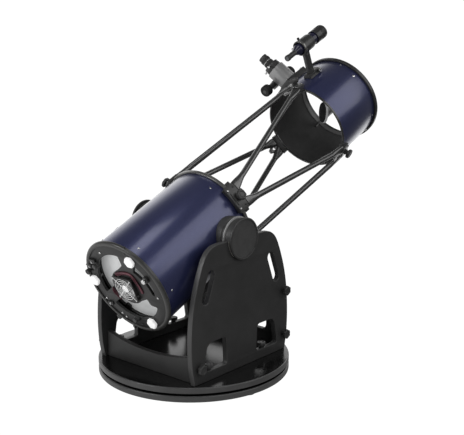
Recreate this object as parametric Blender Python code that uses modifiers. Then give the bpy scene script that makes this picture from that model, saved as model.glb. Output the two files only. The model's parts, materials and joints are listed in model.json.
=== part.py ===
"""Truss-tube Newtonian telescope on a rocker-box (dobsonian) base.

World frame: metres, +Z up, origin under the azimuth pivot on the ground.
+Y is the horizontal pointing direction, +X runs along the altitude axis.
The optical tube is built in its own frame, carried by the altitude_axis
empty: x across, y along the tube towards the sky, z up from the tube's back.
An angle round the tube is counted from that z towards x.
"""
import math

import bmesh
import bpy
from mathutils import Matrix, Vector

# ---------------------------------------------------------------- driving dimensions
FIT = 0.0003                    # gap kept between touching pieces

FOOT_RADIUS, FOOT_HEIGHT, FOOT_CIRCLE, FOOT_ANGLE = 0.022, 0.0137, 0.262, -8.5
DISC_RADIUS, DISC_THICK, DISC_GAP = 0.305, 0.0195, 0.007
GROUND_BOTTOM = 0.014
TURN_BOTTOM = GROUND_BOTTOM + DISC_THICK + DISC_GAP
TURN_TOP = TURN_BOTTOM + DISC_THICK
BOLT_RADIUS = 0.0058

BOARD_OUTER_X, BOARD_THICK = 0.202, 0.018
BOARD_FOOT_Y, BOARD_TOP_Z = 0.214, 0.468
ALTITUDE_Z, ALTITUDE_ANGLE = 0.466, 24.0
NOTCH_RADIUS, PAD_RADIUS, DRUM_RADIUS = 0.0632, 0.0594, 0.0588
LOW_PANEL_Y, TALL_PANEL_Y, PANEL_THICK = -0.195, 0.206, 0.018

TUBE_RADIUS, TUBE_WALL = 0.1525, 0.0015
SEAT_RADIUS = TUBE_RADIUS + 0.0004           # inside radius of what sits on the tube
REAR_FACE, LOWER_FRONT = -0.3165, 0.0914     # ends of the lower tube along its axis
UPPER_NEAR, UPPER_FAR = 0.6455, 0.8764       # ends of the upper tube
RING_RADIUS = 0.160

MIRROR_RADIUS, MIRROR_THICK, MIRROR_BACK = 0.127, 0.030, -0.2839
FOCAL_LENGTH = 1.25
CELL_BACK, CELL_FRONT, CELL_RADIUS = -0.3125, -0.3040, 0.1500
WINDOW_OUT, HUB_RADIUS = 0.115, 0.0585
SCREW_CIRCLE = 0.130
KNOB_ANGLES, CLIP_ANGLES = (31.5, 151.5, 271.5), (91.5, 211.5, 331.5)
CARRIER_INNER, CARRIER_OUTER, CARRIER_THICK = 0.1285, 0.1405, 0.006
FAN_HALF, FAN_CORNER, FAN_BACK, FAN_FRONT = 0.040, 0.004, -0.3225, -0.3025

POLE_RADIUS, POLE_WALL, POLE_CIRCLE = 0.010, 0.0015, 0.161
POLE_START, POLE_END = 0.1086, 0.6272
LOWER_NODES, UPPER_NODES = (-60.0, 60.0, 180.0), (0.0, -120.0, 120.0)
LOWER_SPLAY, UPPER_SPLAY = 10.3, 6.1         # half the angle between a node's two poles

SECONDARY_Y, VANE_Y = 0.757, 0.840
FOCUSER_ANGLE, FINDER_HEIGHT = -45.0, 0.2695
AXLE_X, AXLE_Z = -0.0355, 0.2005              # the focus axle in the focuser's frame
TAU = math.tau


# ---------------------------------------------------------------- scene and materials
for old in list(bpy.data.objects):
    bpy.data.objects.remove(old, do_unlink=True)


def new_collection(name):
    collection = bpy.data.collections.new(name)
    bpy.context.scene.collection.children.link(collection)
    return collection


PARTS = new_collection("dobsonian_telescope")
CUTTERS = new_collection("cutters")


def material(name, color, roughness, metallic=0.0):
    made = bpy.data.materials.new(name)
    made.use_nodes = True
    shader = made.node_tree.nodes["Principled BSDF"]
    shader.inputs["Base Color"].default_value = (*color, 1.0)
    shader.inputs["Roughness"].default_value = roughness
    shader.inputs["Metallic"].default_value = metallic
    made.diffuse_color = (*color, 1.0)
    return made


BOARD = material("black_board", (0.030, 0.030, 0.032), 0.45)
DISC = material("gloss_board", (0.010, 0.010, 0.010), 0.20)
BLUE = material("blue_paint", (0.035, 0.040, 0.090), 0.25, 0.6)
CAST = material("black_casting", (0.045, 0.045, 0.047), 0.50, 0.2)
PLASTIC = material("black_plastic", (0.030, 0.030, 0.030), 0.50)
PALE = material("white_plastic", (0.85, 0.85, 0.84), 0.45)
CHROME = material("chrome", (0.75, 0.75, 0.75), 0.12, 1.0)
MIRROR = material("mirror_glass", (0.45, 0.46, 0.46), 0.20)
SPRING = material("spring_steel", (0.50, 0.50, 0.50), 0.30, 1.0)
RUBBER = material("rubber", (0.020, 0.020, 0.020), 0.80)
FRICTION = material("bearing_pad", (0.60, 0.60, 0.58), 0.40)
GREY = material("focuser_grey", (0.20, 0.20, 0.20), 0.35, 0.4)


# ---------------------------------------------------------------- frames
def empty(name, location=(0, 0, 0), rotation=(0, 0, 0), parent=None):
    made = bpy.data.objects.new(name, None)
    made.location = location
    made.rotation_euler = [math.radians(a) for a in rotation]
    made.parent = parent
    CUTTERS.objects.link(made)
    return made


AXIS = empty("altitude_axis", (0, 0, ALTITUDE_Z), (ALTITUDE_ANGLE, 0, 0))
FOCUS = empty("focuser_axis", (0, SECONDARY_Y, 0), (0, FOCUSER_ANGLE, 0), AXIS)

ALONG_TUBE = (-90, 0, 0)        # local z to the tube's y
ACROSS_TUBE = (90, 0, 0)        # a flat outline lies across the tube, y up
BOARD_PLANE = (90, 0, 90)       # a flat outline stands in the Y-Z plane
PANEL_PLANE = (90, 0, 0)        # a flat outline stands in the X-Z plane


def put(obj, mat, parent=None, location=(0, 0, 0), rotation=(0, 0, 0), collection=PARTS):
    obj.data.materials.clear()
    obj.data.materials.append(mat)
    obj.parent = parent
    obj.location = location
    obj.rotation_euler = [math.radians(a) for a in rotation]
    if not obj.users_collection:
        collection.objects.link(obj)
    return obj


def smooth(obj, angle=35):
    obj.data.shade_smooth()
    obj.data.set_sharp_from_angle(angle=math.radians(angle))
    return obj


# ---------------------------------------------------------------- outlines
def polar(radius, degrees):
    """A point in an outline across the tube: angle from up, towards +x."""
    a = math.radians(degrees)
    return (radius * math.sin(a), radius * math.cos(a))


def arc(radius, start, end, steps, centre=(0.0, 0.0)):
    """Points on a circle, angle from +x, both ends included."""
    angles = [math.radians(start + (end - start) * i / steps) for i in range(steps + 1)]
    return [(centre[0] + radius * math.cos(a), centre[1] + radius * math.sin(a)) for a in angles]


def circle(radius, count=64):
    return arc(radius, 0, 360 - 360 / count, count - 1)


def sector(inner, outer, middle, half, steps=8):
    """Annular sector about the tube's axis."""
    turns = [middle - half + 2 * half * i / steps for i in range(steps + 1)]
    return [polar(outer, t) for t in turns] + [polar(inner, t) for t in reversed(turns)]


def rounded(corners, steps=5):
    """Polygon with filleted corners, each given as (x, y, fillet radius)."""
    points = []
    count = len(corners)
    for i, (x, y, radius) in enumerate(corners):
        here = Vector((x, y))
        before = (Vector(corners[i - 1][:2]) - here).normalized()
        after = (Vector(corners[(i + 1) % count][:2]) - here).normalized()
        half = before.angle(after) / 2
        centre = here + (before + after).normalized() * radius / math.sin(half)
        first = here + before * radius / math.tan(half) - centre
        last = here + after * radius / math.tan(half) - centre
        sweep = first.angle_signed(last)
        for k in range(steps + 1):
            spoke = first.copy()
            spoke.rotate(Matrix.Rotation(-sweep * k / steps, 2))
            points.append(tuple(centre + spoke))
    return points


def curve_through(knots, steps=5):
    """Smooth open line through its knots (Catmull-Rom)."""
    ends = [knots[0], *knots, knots[-1]]
    points = []
    for i in range(1, len(ends) - 2):
        p0, p1, p2, p3 = (Vector(p) for p in ends[i - 1:i + 3])
        for k in range(steps):
            t = k / steps
            points.append(tuple(0.5 * (2 * p1 + (p2 - p0) * t + (2 * p0 - 5 * p1 + 4 * p2 - p3) * t ** 2
                                       + (3 * p1 - p0 - 3 * p2 + p3) * t ** 3)))
    return points + [tuple(knots[-1])]


def stadium(start, end, radius, steps=6):
    """Slot outline with round ends."""
    run = Vector(end) - Vector(start)
    heading = math.degrees(math.atan2(run.y, run.x))
    return arc(radius, heading - 90, heading - 270, steps, start)[::-1] \
        + arc(radius, heading + 90, heading - 90, steps, end)[::-1]


# ---------------------------------------------------------------- solids
def flat(name, outline, thickness, mat, parent=None, location=(0, 0, 0), rotation=(0, 0, 0),
         holes=(), collection=PARTS):
    """Flat plate from a 2D curve; its thickness is centred on its plane."""
    curve = bpy.data.curves.new(name, "CURVE")
    curve.dimensions = "2D"
    curve.fill_mode = "BOTH"
    curve.extrude = thickness / 2
    for points in (outline, *holes):
        spline = curve.splines.new("POLY")
        spline.points.add(len(points) - 1)
        for point, (x, y) in zip(spline.points, points):
            point.co = (x, y, 0, 1)
        spline.use_cyclic_u = True
    obj = bpy.data.objects.new(name, curve)
    return put(obj, mat, parent, location, rotation, collection)


def turned(name, profile, mat, parent=None, location=(0, 0, 0), rotation=(0, 0, 0), steps=48,
           closed=False, collection=PARTS):
    """Turned shape: (radius, height) points down the outer side, then up any bore."""
    mesh = bpy.data.meshes.new(name)
    edges = [(i, i + 1) for i in range(len(profile) - 1)]
    if closed:
        edges.append((len(profile) - 1, 0))
    mesh.from_pydata([(r, 0, h) for r, h in profile], edges, [])
    obj = put(bpy.data.objects.new(name, mesh), mat, parent, location, rotation, collection)
    screw = obj.modifiers.new("turn", "SCREW")
    screw.steps = screw.render_steps = steps
    screw.use_merge_vertices = True
    screw.merge_threshold = 0.00002
    screw.use_smooth_shade = False
    return obj


def loft(name, rings, mat, parent=None, location=(0, 0, 0), rotation=(0, 0, 0), lobes=6, count=24,
         collection=PARTS):
    """Round shaft to lobed head: rings of (height, radius, lobe depth), ends closed."""
    bm = bmesh.new()
    loops = []
    for height, radius, depth in rings:
        loop = []
        for i in range(count):
            a = TAU * i / count
            r = radius + depth * math.cos(lobes * a)
            loop.append(bm.verts.new((r * math.cos(a), r * math.sin(a), height)))
        loops.append(loop)
    for low, high in zip(loops, loops[1:]):
        for i in range(count):
            j = (i + 1) % count
            bm.faces.new((low[i], low[j], high[j], high[i]))
    bm.faces.new(loops[0][::-1])
    bm.faces.new(loops[-1])
    bmesh.ops.recalc_face_normals(bm, faces=bm.faces)
    mesh = bpy.data.meshes.new(name)
    bm.to_mesh(mesh)
    bm.free()
    return put(bpy.data.objects.new(name, mesh), mat, parent, location, rotation, collection)


def block(name, low, high, mat, parent=None, collection=PARTS):
    bm = bmesh.new()
    bmesh.ops.create_cube(bm, size=1.0)
    size = [b - a for a, b in zip(low, high)]
    middle = Vector([(a + b) / 2 for a, b in zip(low, high)])
    bmesh.ops.transform(bm, matrix=Matrix.Translation(middle) @ Matrix.Diagonal((*size, 1)), verts=bm.verts)
    mesh = bpy.data.meshes.new(name)
    bm.to_mesh(mesh)
    bm.free()
    return put(bpy.data.objects.new(name, mesh), mat, parent, collection=collection)


def rod(name, start, end, radius, mat, parent=None, segments=16, collection=PARTS):
    """Plain cylinder between two points, its origin on its axis."""
    run = Vector(end) - Vector(start)
    bm = bmesh.new()
    bmesh.ops.create_cone(bm, cap_ends=True, segments=segments, radius1=radius, radius2=radius,
                          depth=run.length)
    mesh = bpy.data.meshes.new(name)
    bm.to_mesh(mesh)
    bm.free()
    obj = put(bpy.data.objects.new(name, mesh), mat, parent, collection=collection)
    obj.location = (Vector(start) + Vector(end)) / 2
    obj.rotation_euler = run.to_track_quat("Z", "Y").to_euler()
    return obj


def as_mesh(obj):
    """Turn an object with modifiers or curve data into a plain welded mesh object."""
    bpy.context.view_layer.update()
    mesh = bpy.data.meshes.new_from_object(obj.evaluated_get(bpy.context.evaluated_depsgraph_get()))
    bm = bmesh.new()
    bm.from_mesh(mesh)
    bmesh.ops.remove_doubles(bm, verts=bm.verts, dist=0.00001)
    bm.to_mesh(mesh)
    bm.free()
    name, parent, collection = obj.name, obj.parent, obj.users_collection[0]
    mat, matrix = obj.data.materials[0], obj.matrix_basis.copy()
    bpy.data.objects.remove(obj)
    made = put(bpy.data.objects.new(name, mesh), mat, parent, collection=collection)
    made.matrix_basis = matrix
    return made


def boolean(obj, operation, tools):
    """Cut or join with helper solids, which stay hidden in the cutters collection."""
    for tool in tools:
        tool.hide_render = True
        tool.display_type = "WIRE"
        modifier = obj.modifiers.new(operation.lower(), "BOOLEAN")
        modifier.operation = operation
        modifier.solver = "EXACT"
        modifier.object = tool
    return obj


def on_tube(name, degrees, low, high):
    """Helper block modelled at the top of the tube and carried round it."""
    made = block(name, low, high, CAST, AXIS, CUTTERS)
    made.rotation_euler = (0, math.radians(degrees), 0)
    return made


def tube_cutter(name, low, high, radius=SEAT_RADIUS, steps=72):
    return rod(name, (0, low, 0), (0, high, 0), radius, PLASTIC, AXIS, steps, CUTTERS)


# ---------------------------------------------------------------- base
def build_ground():
    for k in range(3):
        a = math.radians(FOOT_ANGLE + 120 * k)
        profile = [(0, FOOT_HEIGHT), (FOOT_RADIUS, FOOT_HEIGHT), (FOOT_RADIUS - 0.003, 0), (0, 0)]
        turned(f"foot_{k + 1}", profile, RUBBER, steps=24,
               location=(FOOT_CIRCLE * math.cos(a), FOOT_CIRCLE * math.sin(a), 0))
    disc_board("ground_board", GROUND_BOTTOM)
    low, high, inner, outer = GROUND_BOTTOM + DISC_THICK + FIT, TURN_BOTTOM - FIT, 0.095, 0.135
    turned("azimuth_bearing", [(outer, high), (outer, low), (inner, low), (inner, high)], FRICTION, steps=36,
           closed=True)
    head, thick = 0.013, 0.008
    turned("pivot_bolt", [(0, TURN_TOP + thick), (head, TURN_TOP + thick), (head, TURN_TOP + FIT),
                          (BOLT_RADIUS, TURN_TOP + FIT), (BOLT_RADIUS, GROUND_BOTTOM), (0, GROUND_BOTTOM)],
           CHROME, steps=24)


def disc_board(name, bottom):
    """Round board with softened rims and a pivot hole."""
    rim, top, bore = 0.003, bottom + DISC_THICK, BOLT_RADIUS + 0.0004
    outer = [(bore, top), (DISC_RADIUS - rim, top), (DISC_RADIUS, top - rim), (DISC_RADIUS, bottom + rim),
             (DISC_RADIUS - rim, bottom), (bore, bottom)]
    return smooth(turned(name, outer, DISC, steps=72, closed=True))


# ---------------------------------------------------------------- rocker box
def board_outline():
    """Bell-shaped side board with the round notch that carries the altitude drum."""
    flank = curve_through([(BOARD_FOOT_Y, TURN_TOP + FIT), (0.2245, 0.115), (0.2275, 0.190), (0.2205, 0.275),
                           (0.2025, 0.352), (0.170, 0.431), (0.140, 0.4605), (0.108, BOARD_TOP_Z)])
    notch = arc(NOTCH_RADIUS, 0, -180, 18, (0, ALTITUDE_Z))
    right = flank + [(NOTCH_RADIUS, BOARD_TOP_Z)] + notch[:9]
    return right + [(0, ALTITUDE_Z - NOTCH_RADIUS)] + [(-y, z) for y, z in reversed(right)]


def board_holes():
    openings = []
    for side in (-1, 1):
        grip = stadium((side * 0.139, 0.381), (side * 0.166, 0.312), 0.0155)
        window = rounded([(side * 0.070, 0.090, 0.008), (side * 0.074, 0.177, 0.010),
                          (side * 0.159, 0.177, 0.026), (side * 0.174, 0.090, 0.008)])
        openings += [grip, window]
    return openings


def build_rocker():
    disc_board("turntable_board", TURN_BOTTOM)
    middle = BOARD_OUTER_X - BOARD_THICK / 2
    for name, side in (("right", 1), ("left", -1)):
        flat("side_board_" + name, board_outline(), BOARD_THICK, BOARD, location=(side * middle, 0, 0),
             rotation=BOARD_PLANE, holes=board_holes())
        pad = arc(NOTCH_RADIUS - FIT, -180, 0, 20) + arc(PAD_RADIUS, 0, -180, 20)
        flat("cradle_pad_" + name, pad, BOARD_THICK - 0.001, FRICTION,
             location=(side * middle, 0, ALTITUDE_Z), rotation=BOARD_PLANE)
    build_panels(BOARD_OUTER_X - BOARD_THICK - FIT)


def build_panels(half):
    """Cross panels with dished tops: a low one, and a tall one opposite with a wide opening."""
    bottom, steps = TURN_TOP + FIT, 16
    wide, sill, head, fillet = 0.138, 0.113, 0.190, 0.020
    corners = (-wide, sill), (-wide, head), (wide, head), (wide, sill)
    opening = rounded([(*corner, fillet) for corner in corners])
    panels = (("low_panel", LOW_PANEL_Y, 0.117, 0.026, ()),
              ("tall_panel", TALL_PANEL_Y, 0.252, 0.024, [opening]))
    for name, y, middle, dish, holes in panels:
        across = [1 - 2 * i / steps for i in range(steps + 1)]
        top = [(half * part, middle + dish * part ** 2) for part in across]
        flat(name, [(-half, bottom), (half, bottom)] + top, PANEL_THICK, BOARD, location=(0, y, 0),
             rotation=PANEL_PLANE, holes=holes)


# ---------------------------------------------------------------- lower tube
def tube_shell(name, low, high, bead=None):
    inner = TUBE_RADIUS - TUBE_WALL
    outer = [(TUBE_RADIUS, high), (TUBE_RADIUS, low)]
    if bead:
        outer = [(TUBE_RADIUS, high), (TUBE_RADIUS, low + bead), (TUBE_RADIUS + 0.002, low + bead),
                 (TUBE_RADIUS + 0.002, low)]
    return turned(name, outer + [(inner, low), (inner, high)], BLUE, AXIS, rotation=ALONG_TUBE, steps=48,
                  closed=True)


def build_lower_tube():
    lip, front, outer = CELL_BACK - FIT, REAR_FACE + 0.0125, RING_RADIUS + 0.001
    inner, bevel = 0.148, 0.003
    step, near, rim, mouth = LOWER_FRONT - 0.0085, 0.064, RING_RADIUS - 0.001, 0.146
    smooth(tube_shell("lower_tube", lip + FIT, step - 0.0005))
    turned("rear_ring", [(outer - bevel, front), (outer, front - bevel), (outer, REAR_FACE + bevel),
                         (outer - bevel, REAR_FACE), (inner, REAR_FACE), (inner, lip), (SEAT_RADIUS, lip),
                         (SEAT_RADIUS, front)],
           CAST, AXIS, rotation=ALONG_TUBE, steps=48, closed=True)
    turned("truss_ring", [(mouth, LOWER_FRONT), (rim - 0.0015, LOWER_FRONT), (rim, LOWER_FRONT - 0.0015),
                          (rim, near), (SEAT_RADIUS, near), (SEAT_RADIUS, step), (mouth, step)],
           CAST, AXIS, rotation=ALONG_TUBE, steps=48, closed=True)


# ---------------------------------------------------------------- mirror and cell
def swept(radius, start, end, steps):
    """Circle points on the plate, angle from the top."""
    return [polar(radius, start + (end - start) * i / steps) for i in range(steps + 1)]


def fan_square(half):
    return rounded([(half, half, FAN_CORNER), (-half, half, FAN_CORNER), (-half, -half, FAN_CORNER),
                    (half, -half, FAN_CORNER)], 3)


def cell_windows():
    """Three unlike windows that leave a wide arm beside the top knob and two narrow ones."""
    slim = [polar(0.086 + 0.0185 * i / 6, 40 + 54 * i / 6) for i in range(7)]
    flare = [polar(0.098, 8), polar(0.083, 10), polar(0.065, -7)]
    heel = [polar(0.0765, 111), polar(0.091, 122.5)]
    return [swept(WINDOW_OUT, -111, 6, 14) + flare + swept(HUB_RADIUS, -25, -96, 8),
            swept(WINDOW_OUT, 37, 95, 8) + slim[::-1],
            swept(WINDOW_OUT, 116, 228, 14) + swept(HUB_RADIUS, 222, 137, 9) + heel]


def build_cell():
    """Fixed rear plate with three windows and a square opening for the fan."""
    holes = cell_windows() + [fan_square(FAN_HALF + FIT)]
    holes += [arc(0.0036, 0, 315, 7, polar(SCREW_CIRCLE, knob)) for knob in KNOB_ANGLES]
    flat("mirror_cell", circle(CELL_RADIUS), CELL_FRONT - CELL_BACK, CAST, AXIS,
         (0, (CELL_FRONT + CELL_BACK) / 2, 0), ACROSS_TUBE, holes)
    build_carrier()
    build_mirror()
    build_cell_screws()
    build_fan()


def build_carrier():
    """Floating ring round the mirror's back, with three tabs under the glass and three clips over it."""
    tab, tab_half = 0.113, 4.5
    high = MIRROR_BACK - FIT
    low = high - CARRIER_THICK
    bore = []
    for clip in CLIP_ANGLES:
        bore += swept(CARRIER_INNER, clip - 120 + tab_half, clip - tab_half, 16)
        bore += [polar(tab, clip - tab_half), polar(tab, clip + tab_half)]
    carrier = as_mesh(flat("mirror_carrier", circle(CARRIER_OUTER), high - low, CAST, AXIS,
                           (0, (low + high) / 2, 0), ACROSS_TUBE, [bore]))
    top, beside, half = MIRROR_BACK + MIRROR_THICK, MIRROR_RADIUS + 0.0006, 0.010
    clips = []
    for clip in CLIP_ANGLES:
        clips.append(on_tube("clip_post", clip, (-half, low + 0.001, beside), (half, top + 0.0045, 0.1345)))
        clips.append(on_tube("clip_tip", clip, (0.0005 - half, top + 0.0006, 0.1200),
                             (half - 0.0005, top + 0.0040, beside + 0.002)))
    boolean(carrier, "UNION", clips)


def build_mirror():
    """Slab of glass with a shallow concave front."""
    front = MIRROR_BACK + MIRROR_THICK
    sag = [(MIRROR_RADIUS * i / 6) for i in range(7)]
    dish = [(r, front - (MIRROR_RADIUS ** 2 - r ** 2) / (4 * FOCAL_LENGTH)) for r in sag]
    turned("primary_mirror", dish + [(MIRROR_RADIUS, MIRROR_BACK), (0, MIRROR_BACK)], MIRROR, AXIS,
           rotation=ALONG_TUBE, steps=40)


def build_cell_screws():
    """Three push-pull stations: a lobed knob behind the cell and a spring ahead of it."""
    head, flange, screw, lobe = 0.0163, 0.008, 0.0028, 0.0012
    rings = [(0.0225, screw, 0), (0, screw, 0), (0, flange, 0), (-0.003, flange, 0), (-0.003, head, lobe),
             (-0.0132, head, lobe)]
    bottom, top = CELL_FRONT + 0.0014, MIRROR_BACK - FIT - CARRIER_THICK - 0.0014
    for number, angle in enumerate(KNOB_ANGLES, 1):
        x, z = polar(SCREW_CIRCLE, angle)
        loft(f"collimation_knob_{number}", rings, PALE, AXIS, (x, CELL_BACK - FIT, z), ALONG_TUBE)
        coil_spring(f"collimation_spring_{number}", (x, bottom, z), top - bottom)


def coil_spring(name, foot, length, turns=3, per_turn=9, radius=0.0055, wire=0.0010):
    """Compression spring along the tube's axis."""
    coil = bpy.data.curves.new(name, "CURVE")
    coil.dimensions = "3D"
    coil.bevel_depth = wire
    coil.bevel_resolution = 2
    coil.use_fill_caps = True
    spline = coil.splines.new("POLY")
    spline.points.add(turns * per_turn)
    for i, point in enumerate(spline.points):
        a = TAU * i / per_turn
        point.co = (radius * math.cos(a), length * i / (turns * per_turn), radius * math.sin(a), 1)
    return put(bpy.data.objects.new(name, coil), SPRING, AXIS, foot)


def build_fan():
    """Cooling fan let into the cell: frame, rotor and guard."""
    middle, bore = (FAN_FRONT + FAN_BACK) / 2, 0.0372
    flat("fan_frame", fan_square(FAN_HALF), FAN_FRONT - FAN_BACK, PLASTIC, AXIS, (0, middle, 0), ACROSS_TUBE,
         [circle(bore, 36)])
    blades, hub, tip, rotor = 7, 0.015, 0.0355, []
    for k in range(blades):
        a = 360 * k / blades
        rotor += [polar(hub, a - 18), polar(hub, a - 8), polar(tip, a + 2), polar(tip, a + 24),
                  polar(hub + 0.002, a + 12)]
    flat("fan_rotor", rotor, 0.011, PLASTIC, AXIS, (0, middle, 0), ACROSS_TUBE)
    thick, width = 0.0014, 0.0105
    slots = [sector(inner, inner + width, 90 * k, 38, 4) for inner in (0.0120, 0.0245) for k in range(4)]
    flat("fan_guard", circle(0.0385, 24), thick, CHROME, AXIS, (0, FAN_BACK - FIT - thick / 2, 0),
         ACROSS_TUBE, slots)


# ---------------------------------------------------------------- altitude bearings
def build_bearings():
    """Altitude drums bolted to the tube, with a broad screw cap on each."""
    end, step, boss, root = BOARD_OUTER_X + 0.0003, 0.168, 0.0625, 0.125
    cap = [(0.0005, 0.0615), (0.0022, 0.0646), (0.0082, 0.0646), (0.0099, 0.0630), (0.0099, 0.0590),
           (0.0073, 0.0570), (0.0065, 0.0200)]
    for name, side in (("right", 1), ("left", -1)):
        drum = turned("trunnion_" + name, [(0, end), (DRUM_RADIUS, end), (DRUM_RADIUS, step), (boss, step),
                                           (boss, root), (0, root)],
                      CAST, AXIS, rotation=(0, side * 90, 0), steps=40)
        boolean(drum, "DIFFERENCE", [tube_cutter("tube_space_" + name, -0.1, 0.1)])
        loft("altitude_knob_" + name, [(end + height, radius, 0) for height, radius in cap], PLASTIC, AXIS,
             rotation=(0, side * 90, 0), count=36)


# ---------------------------------------------------------------- truss
def clamp(name, angle, seat, outer, half, low, high, collection=PARTS):
    """Curved block clamped over the end of a tube."""
    return as_mesh(flat(name, sector(seat, outer, angle, half, 10), high - low, CAST, AXIS,
                        (0, (low + high) / 2, 0), ACROSS_TUBE, collection=collection))


def pole_seat(name, angle, half, low, high):
    """Inner foot of a clamp, where the poles' ends stand."""
    return clamp(name, angle, 0.1500, 0.1600, half, low, high, CUTTERS)


def build_truss():
    """Clamps on both tubes, the six poles between them and a screw knob on each clamp."""
    lower_face, upper_face, lower = 0.1700, 0.1680, []
    for angle in LOWER_NODES:
        lower.append(clamp("lower_clamp", angle, 0.1560, lower_face, 21, 0.060, POLE_START - FIT, CUTTERS))
        lower.append(pole_seat("lower_seat", angle, 20, LOWER_FRONT - 0.001, POLE_START - 2 * FIT))
    boolean(bpy.data.objects["truss_ring"], "UNION", lower)
    for number, angle in enumerate(UPPER_NODES, 1):
        upper = clamp(f"upper_clamp_{number}", angle, TUBE_RADIUS + 0.0024, upper_face, 14, POLE_END + FIT,
                      0.664)
        seat = pole_seat("upper_seat", angle, 13.5, POLE_END + 2 * FIT, UPPER_NEAR - 2 * FIT)
        boolean(upper, "UNION", [seat])
    number = 0
    for base in LOWER_NODES:
        for top in UPPER_NODES:
            turn = (top - base + 180) % 360 - 180
            if abs(turn) > 90:
                continue
            number += 1
            sense = math.copysign(1, turn)
            x0, z0 = polar(POLE_CIRCLE, base + sense * LOWER_SPLAY)
            x1, z1 = polar(POLE_CIRCLE, top - sense * UPPER_SPLAY)
            square_ended_pole(f"truss_pole_{number}", (x0, POLE_START, z0), (x1, POLE_END, z1))
    knobs = [(a, 0.090, lower_face) for a in LOWER_NODES] + [(a, 0.648, upper_face) for a in UPPER_NODES]
    collar, head, lobe = 0.0055, 0.0135, 0.0018
    for number, (angle, along, surface) in enumerate(knobs, 1):
        neck = surface + FIT
        rings = [(neck, collar, 0), (neck + 0.005, collar, 0), (neck + 0.005, head, lobe),
                 (neck + 0.017, head, lobe)]
        loft(f"truss_knob_{number}", rings, PLASTIC, AXIS, (0, along, 0), (0, angle, 0))


def square_ended_pole(name, start, end):
    """Hollow truss pole whose ends are cut square to the tube's axis."""
    run = Vector(end) - Vector(start)
    half, bore = run.length / 2 + 0.02, POLE_RADIUS - POLE_WALL
    profile = [(POLE_RADIUS, half), (POLE_RADIUS, -half), (bore, -half), (bore, half)]
    pole = turned(name, profile, CAST, AXIS, steps=14, closed=True)
    pole.location = (Vector(start) + Vector(end)) / 2
    pole.rotation_euler = run.to_track_quat("Z", "Y").to_euler()
    keep = block(name + "_length", (-0.2, start[1], -0.2), (0.2, end[1], 0.2), CAST, AXIS, CUTTERS)
    return boolean(pole, "INTERSECT", [keep])


# ---------------------------------------------------------------- upper tube
def build_upper_tube():
    shell = smooth(tube_shell("upper_tube", UPPER_NEAR, UPPER_FAR - 0.010, bead=0.005))
    light_path = rod("light_path", (0, 0, 0.120), (0, 0, 0.170), 0.0305, PLASTIC, FOCUS, 32, CUTTERS)
    boolean(shell, "DIFFERENCE", [light_path])
    step, near, rim, mouth, bevel = UPPER_FAR - 0.0097, 0.8610, 0.1594, 0.148, 0.0024
    turned("end_ring", [(mouth, UPPER_FAR), (rim - bevel, UPPER_FAR), (rim, UPPER_FAR - bevel), (rim, near),
                        (SEAT_RADIUS, near), (SEAT_RADIUS, step), (mouth, step)],
           CAST, AXIS, rotation=ALONG_TUBE, steps=48, closed=True)


def build_secondary():
    """Four-vane spider, the stalk's holder and the diagonal mirror."""
    hub, reach, half = 0.020, TUBE_RADIUS - TUBE_WALL - FIT, 0.0006
    outline = []
    lean = math.degrees(math.asin(half / hub))
    for k in range(4):
        vane = 45 + 90 * k
        a = math.radians(vane)
        along, aside = Vector((math.cos(a), math.sin(a))), Vector((-math.sin(a), math.cos(a)))
        outline += [tuple(along * reach - aside * half), tuple(along * reach + aside * half)]
        outline += arc(hub, vane + lean, vane + 90 - lean, 6)
    flat("spider", outline, 0.025, CAST, AXIS, (0, VANE_Y, 0), ACROSS_TUBE)
    minor, slope, glass, towards = 0.029, math.sqrt(0.5), 0.008, math.radians(FOCUSER_ANGLE)
    facing = Vector((slope * math.sin(towards), -slope, slope * math.cos(towards)))
    surface = Vector((0, SECONDARY_Y, 0))
    mirror = rod("secondary_mirror", surface - facing * glass, surface, 1.0, MIRROR, AXIS, 40)
    long_way = (Vector((0, 1, 0)) - facing * facing.y).normalized()
    across = facing.cross(long_way)
    mirror.data.transform(Matrix.Diagonal((minor / slope, minor, 1, 1)))
    mirror.rotation_euler = Matrix((long_way, across, facing)).transposed().to_euler()
    stalk, body, top, shoulder = 0.008, 0.0265, VANE_Y - 0.0128, 0.812
    holder = turned("secondary_holder", [(0, top), (stalk, top), (stalk, shoulder), (body, shoulder),
                                         (body, 0.722), (0, 0.722)],
                    CAST, AXIS, rotation=ALONG_TUBE, steps=32)
    keep_out = block("mirror_seat", (-0.1, -0.1, -glass - FIT), (0.1, 0.1, 0.1), CAST, AXIS, CUTTERS)
    keep_out.location = surface
    keep_out.rotation_euler = mirror.rotation_euler
    boolean(holder, "DIFFERENCE", [keep_out])


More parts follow.
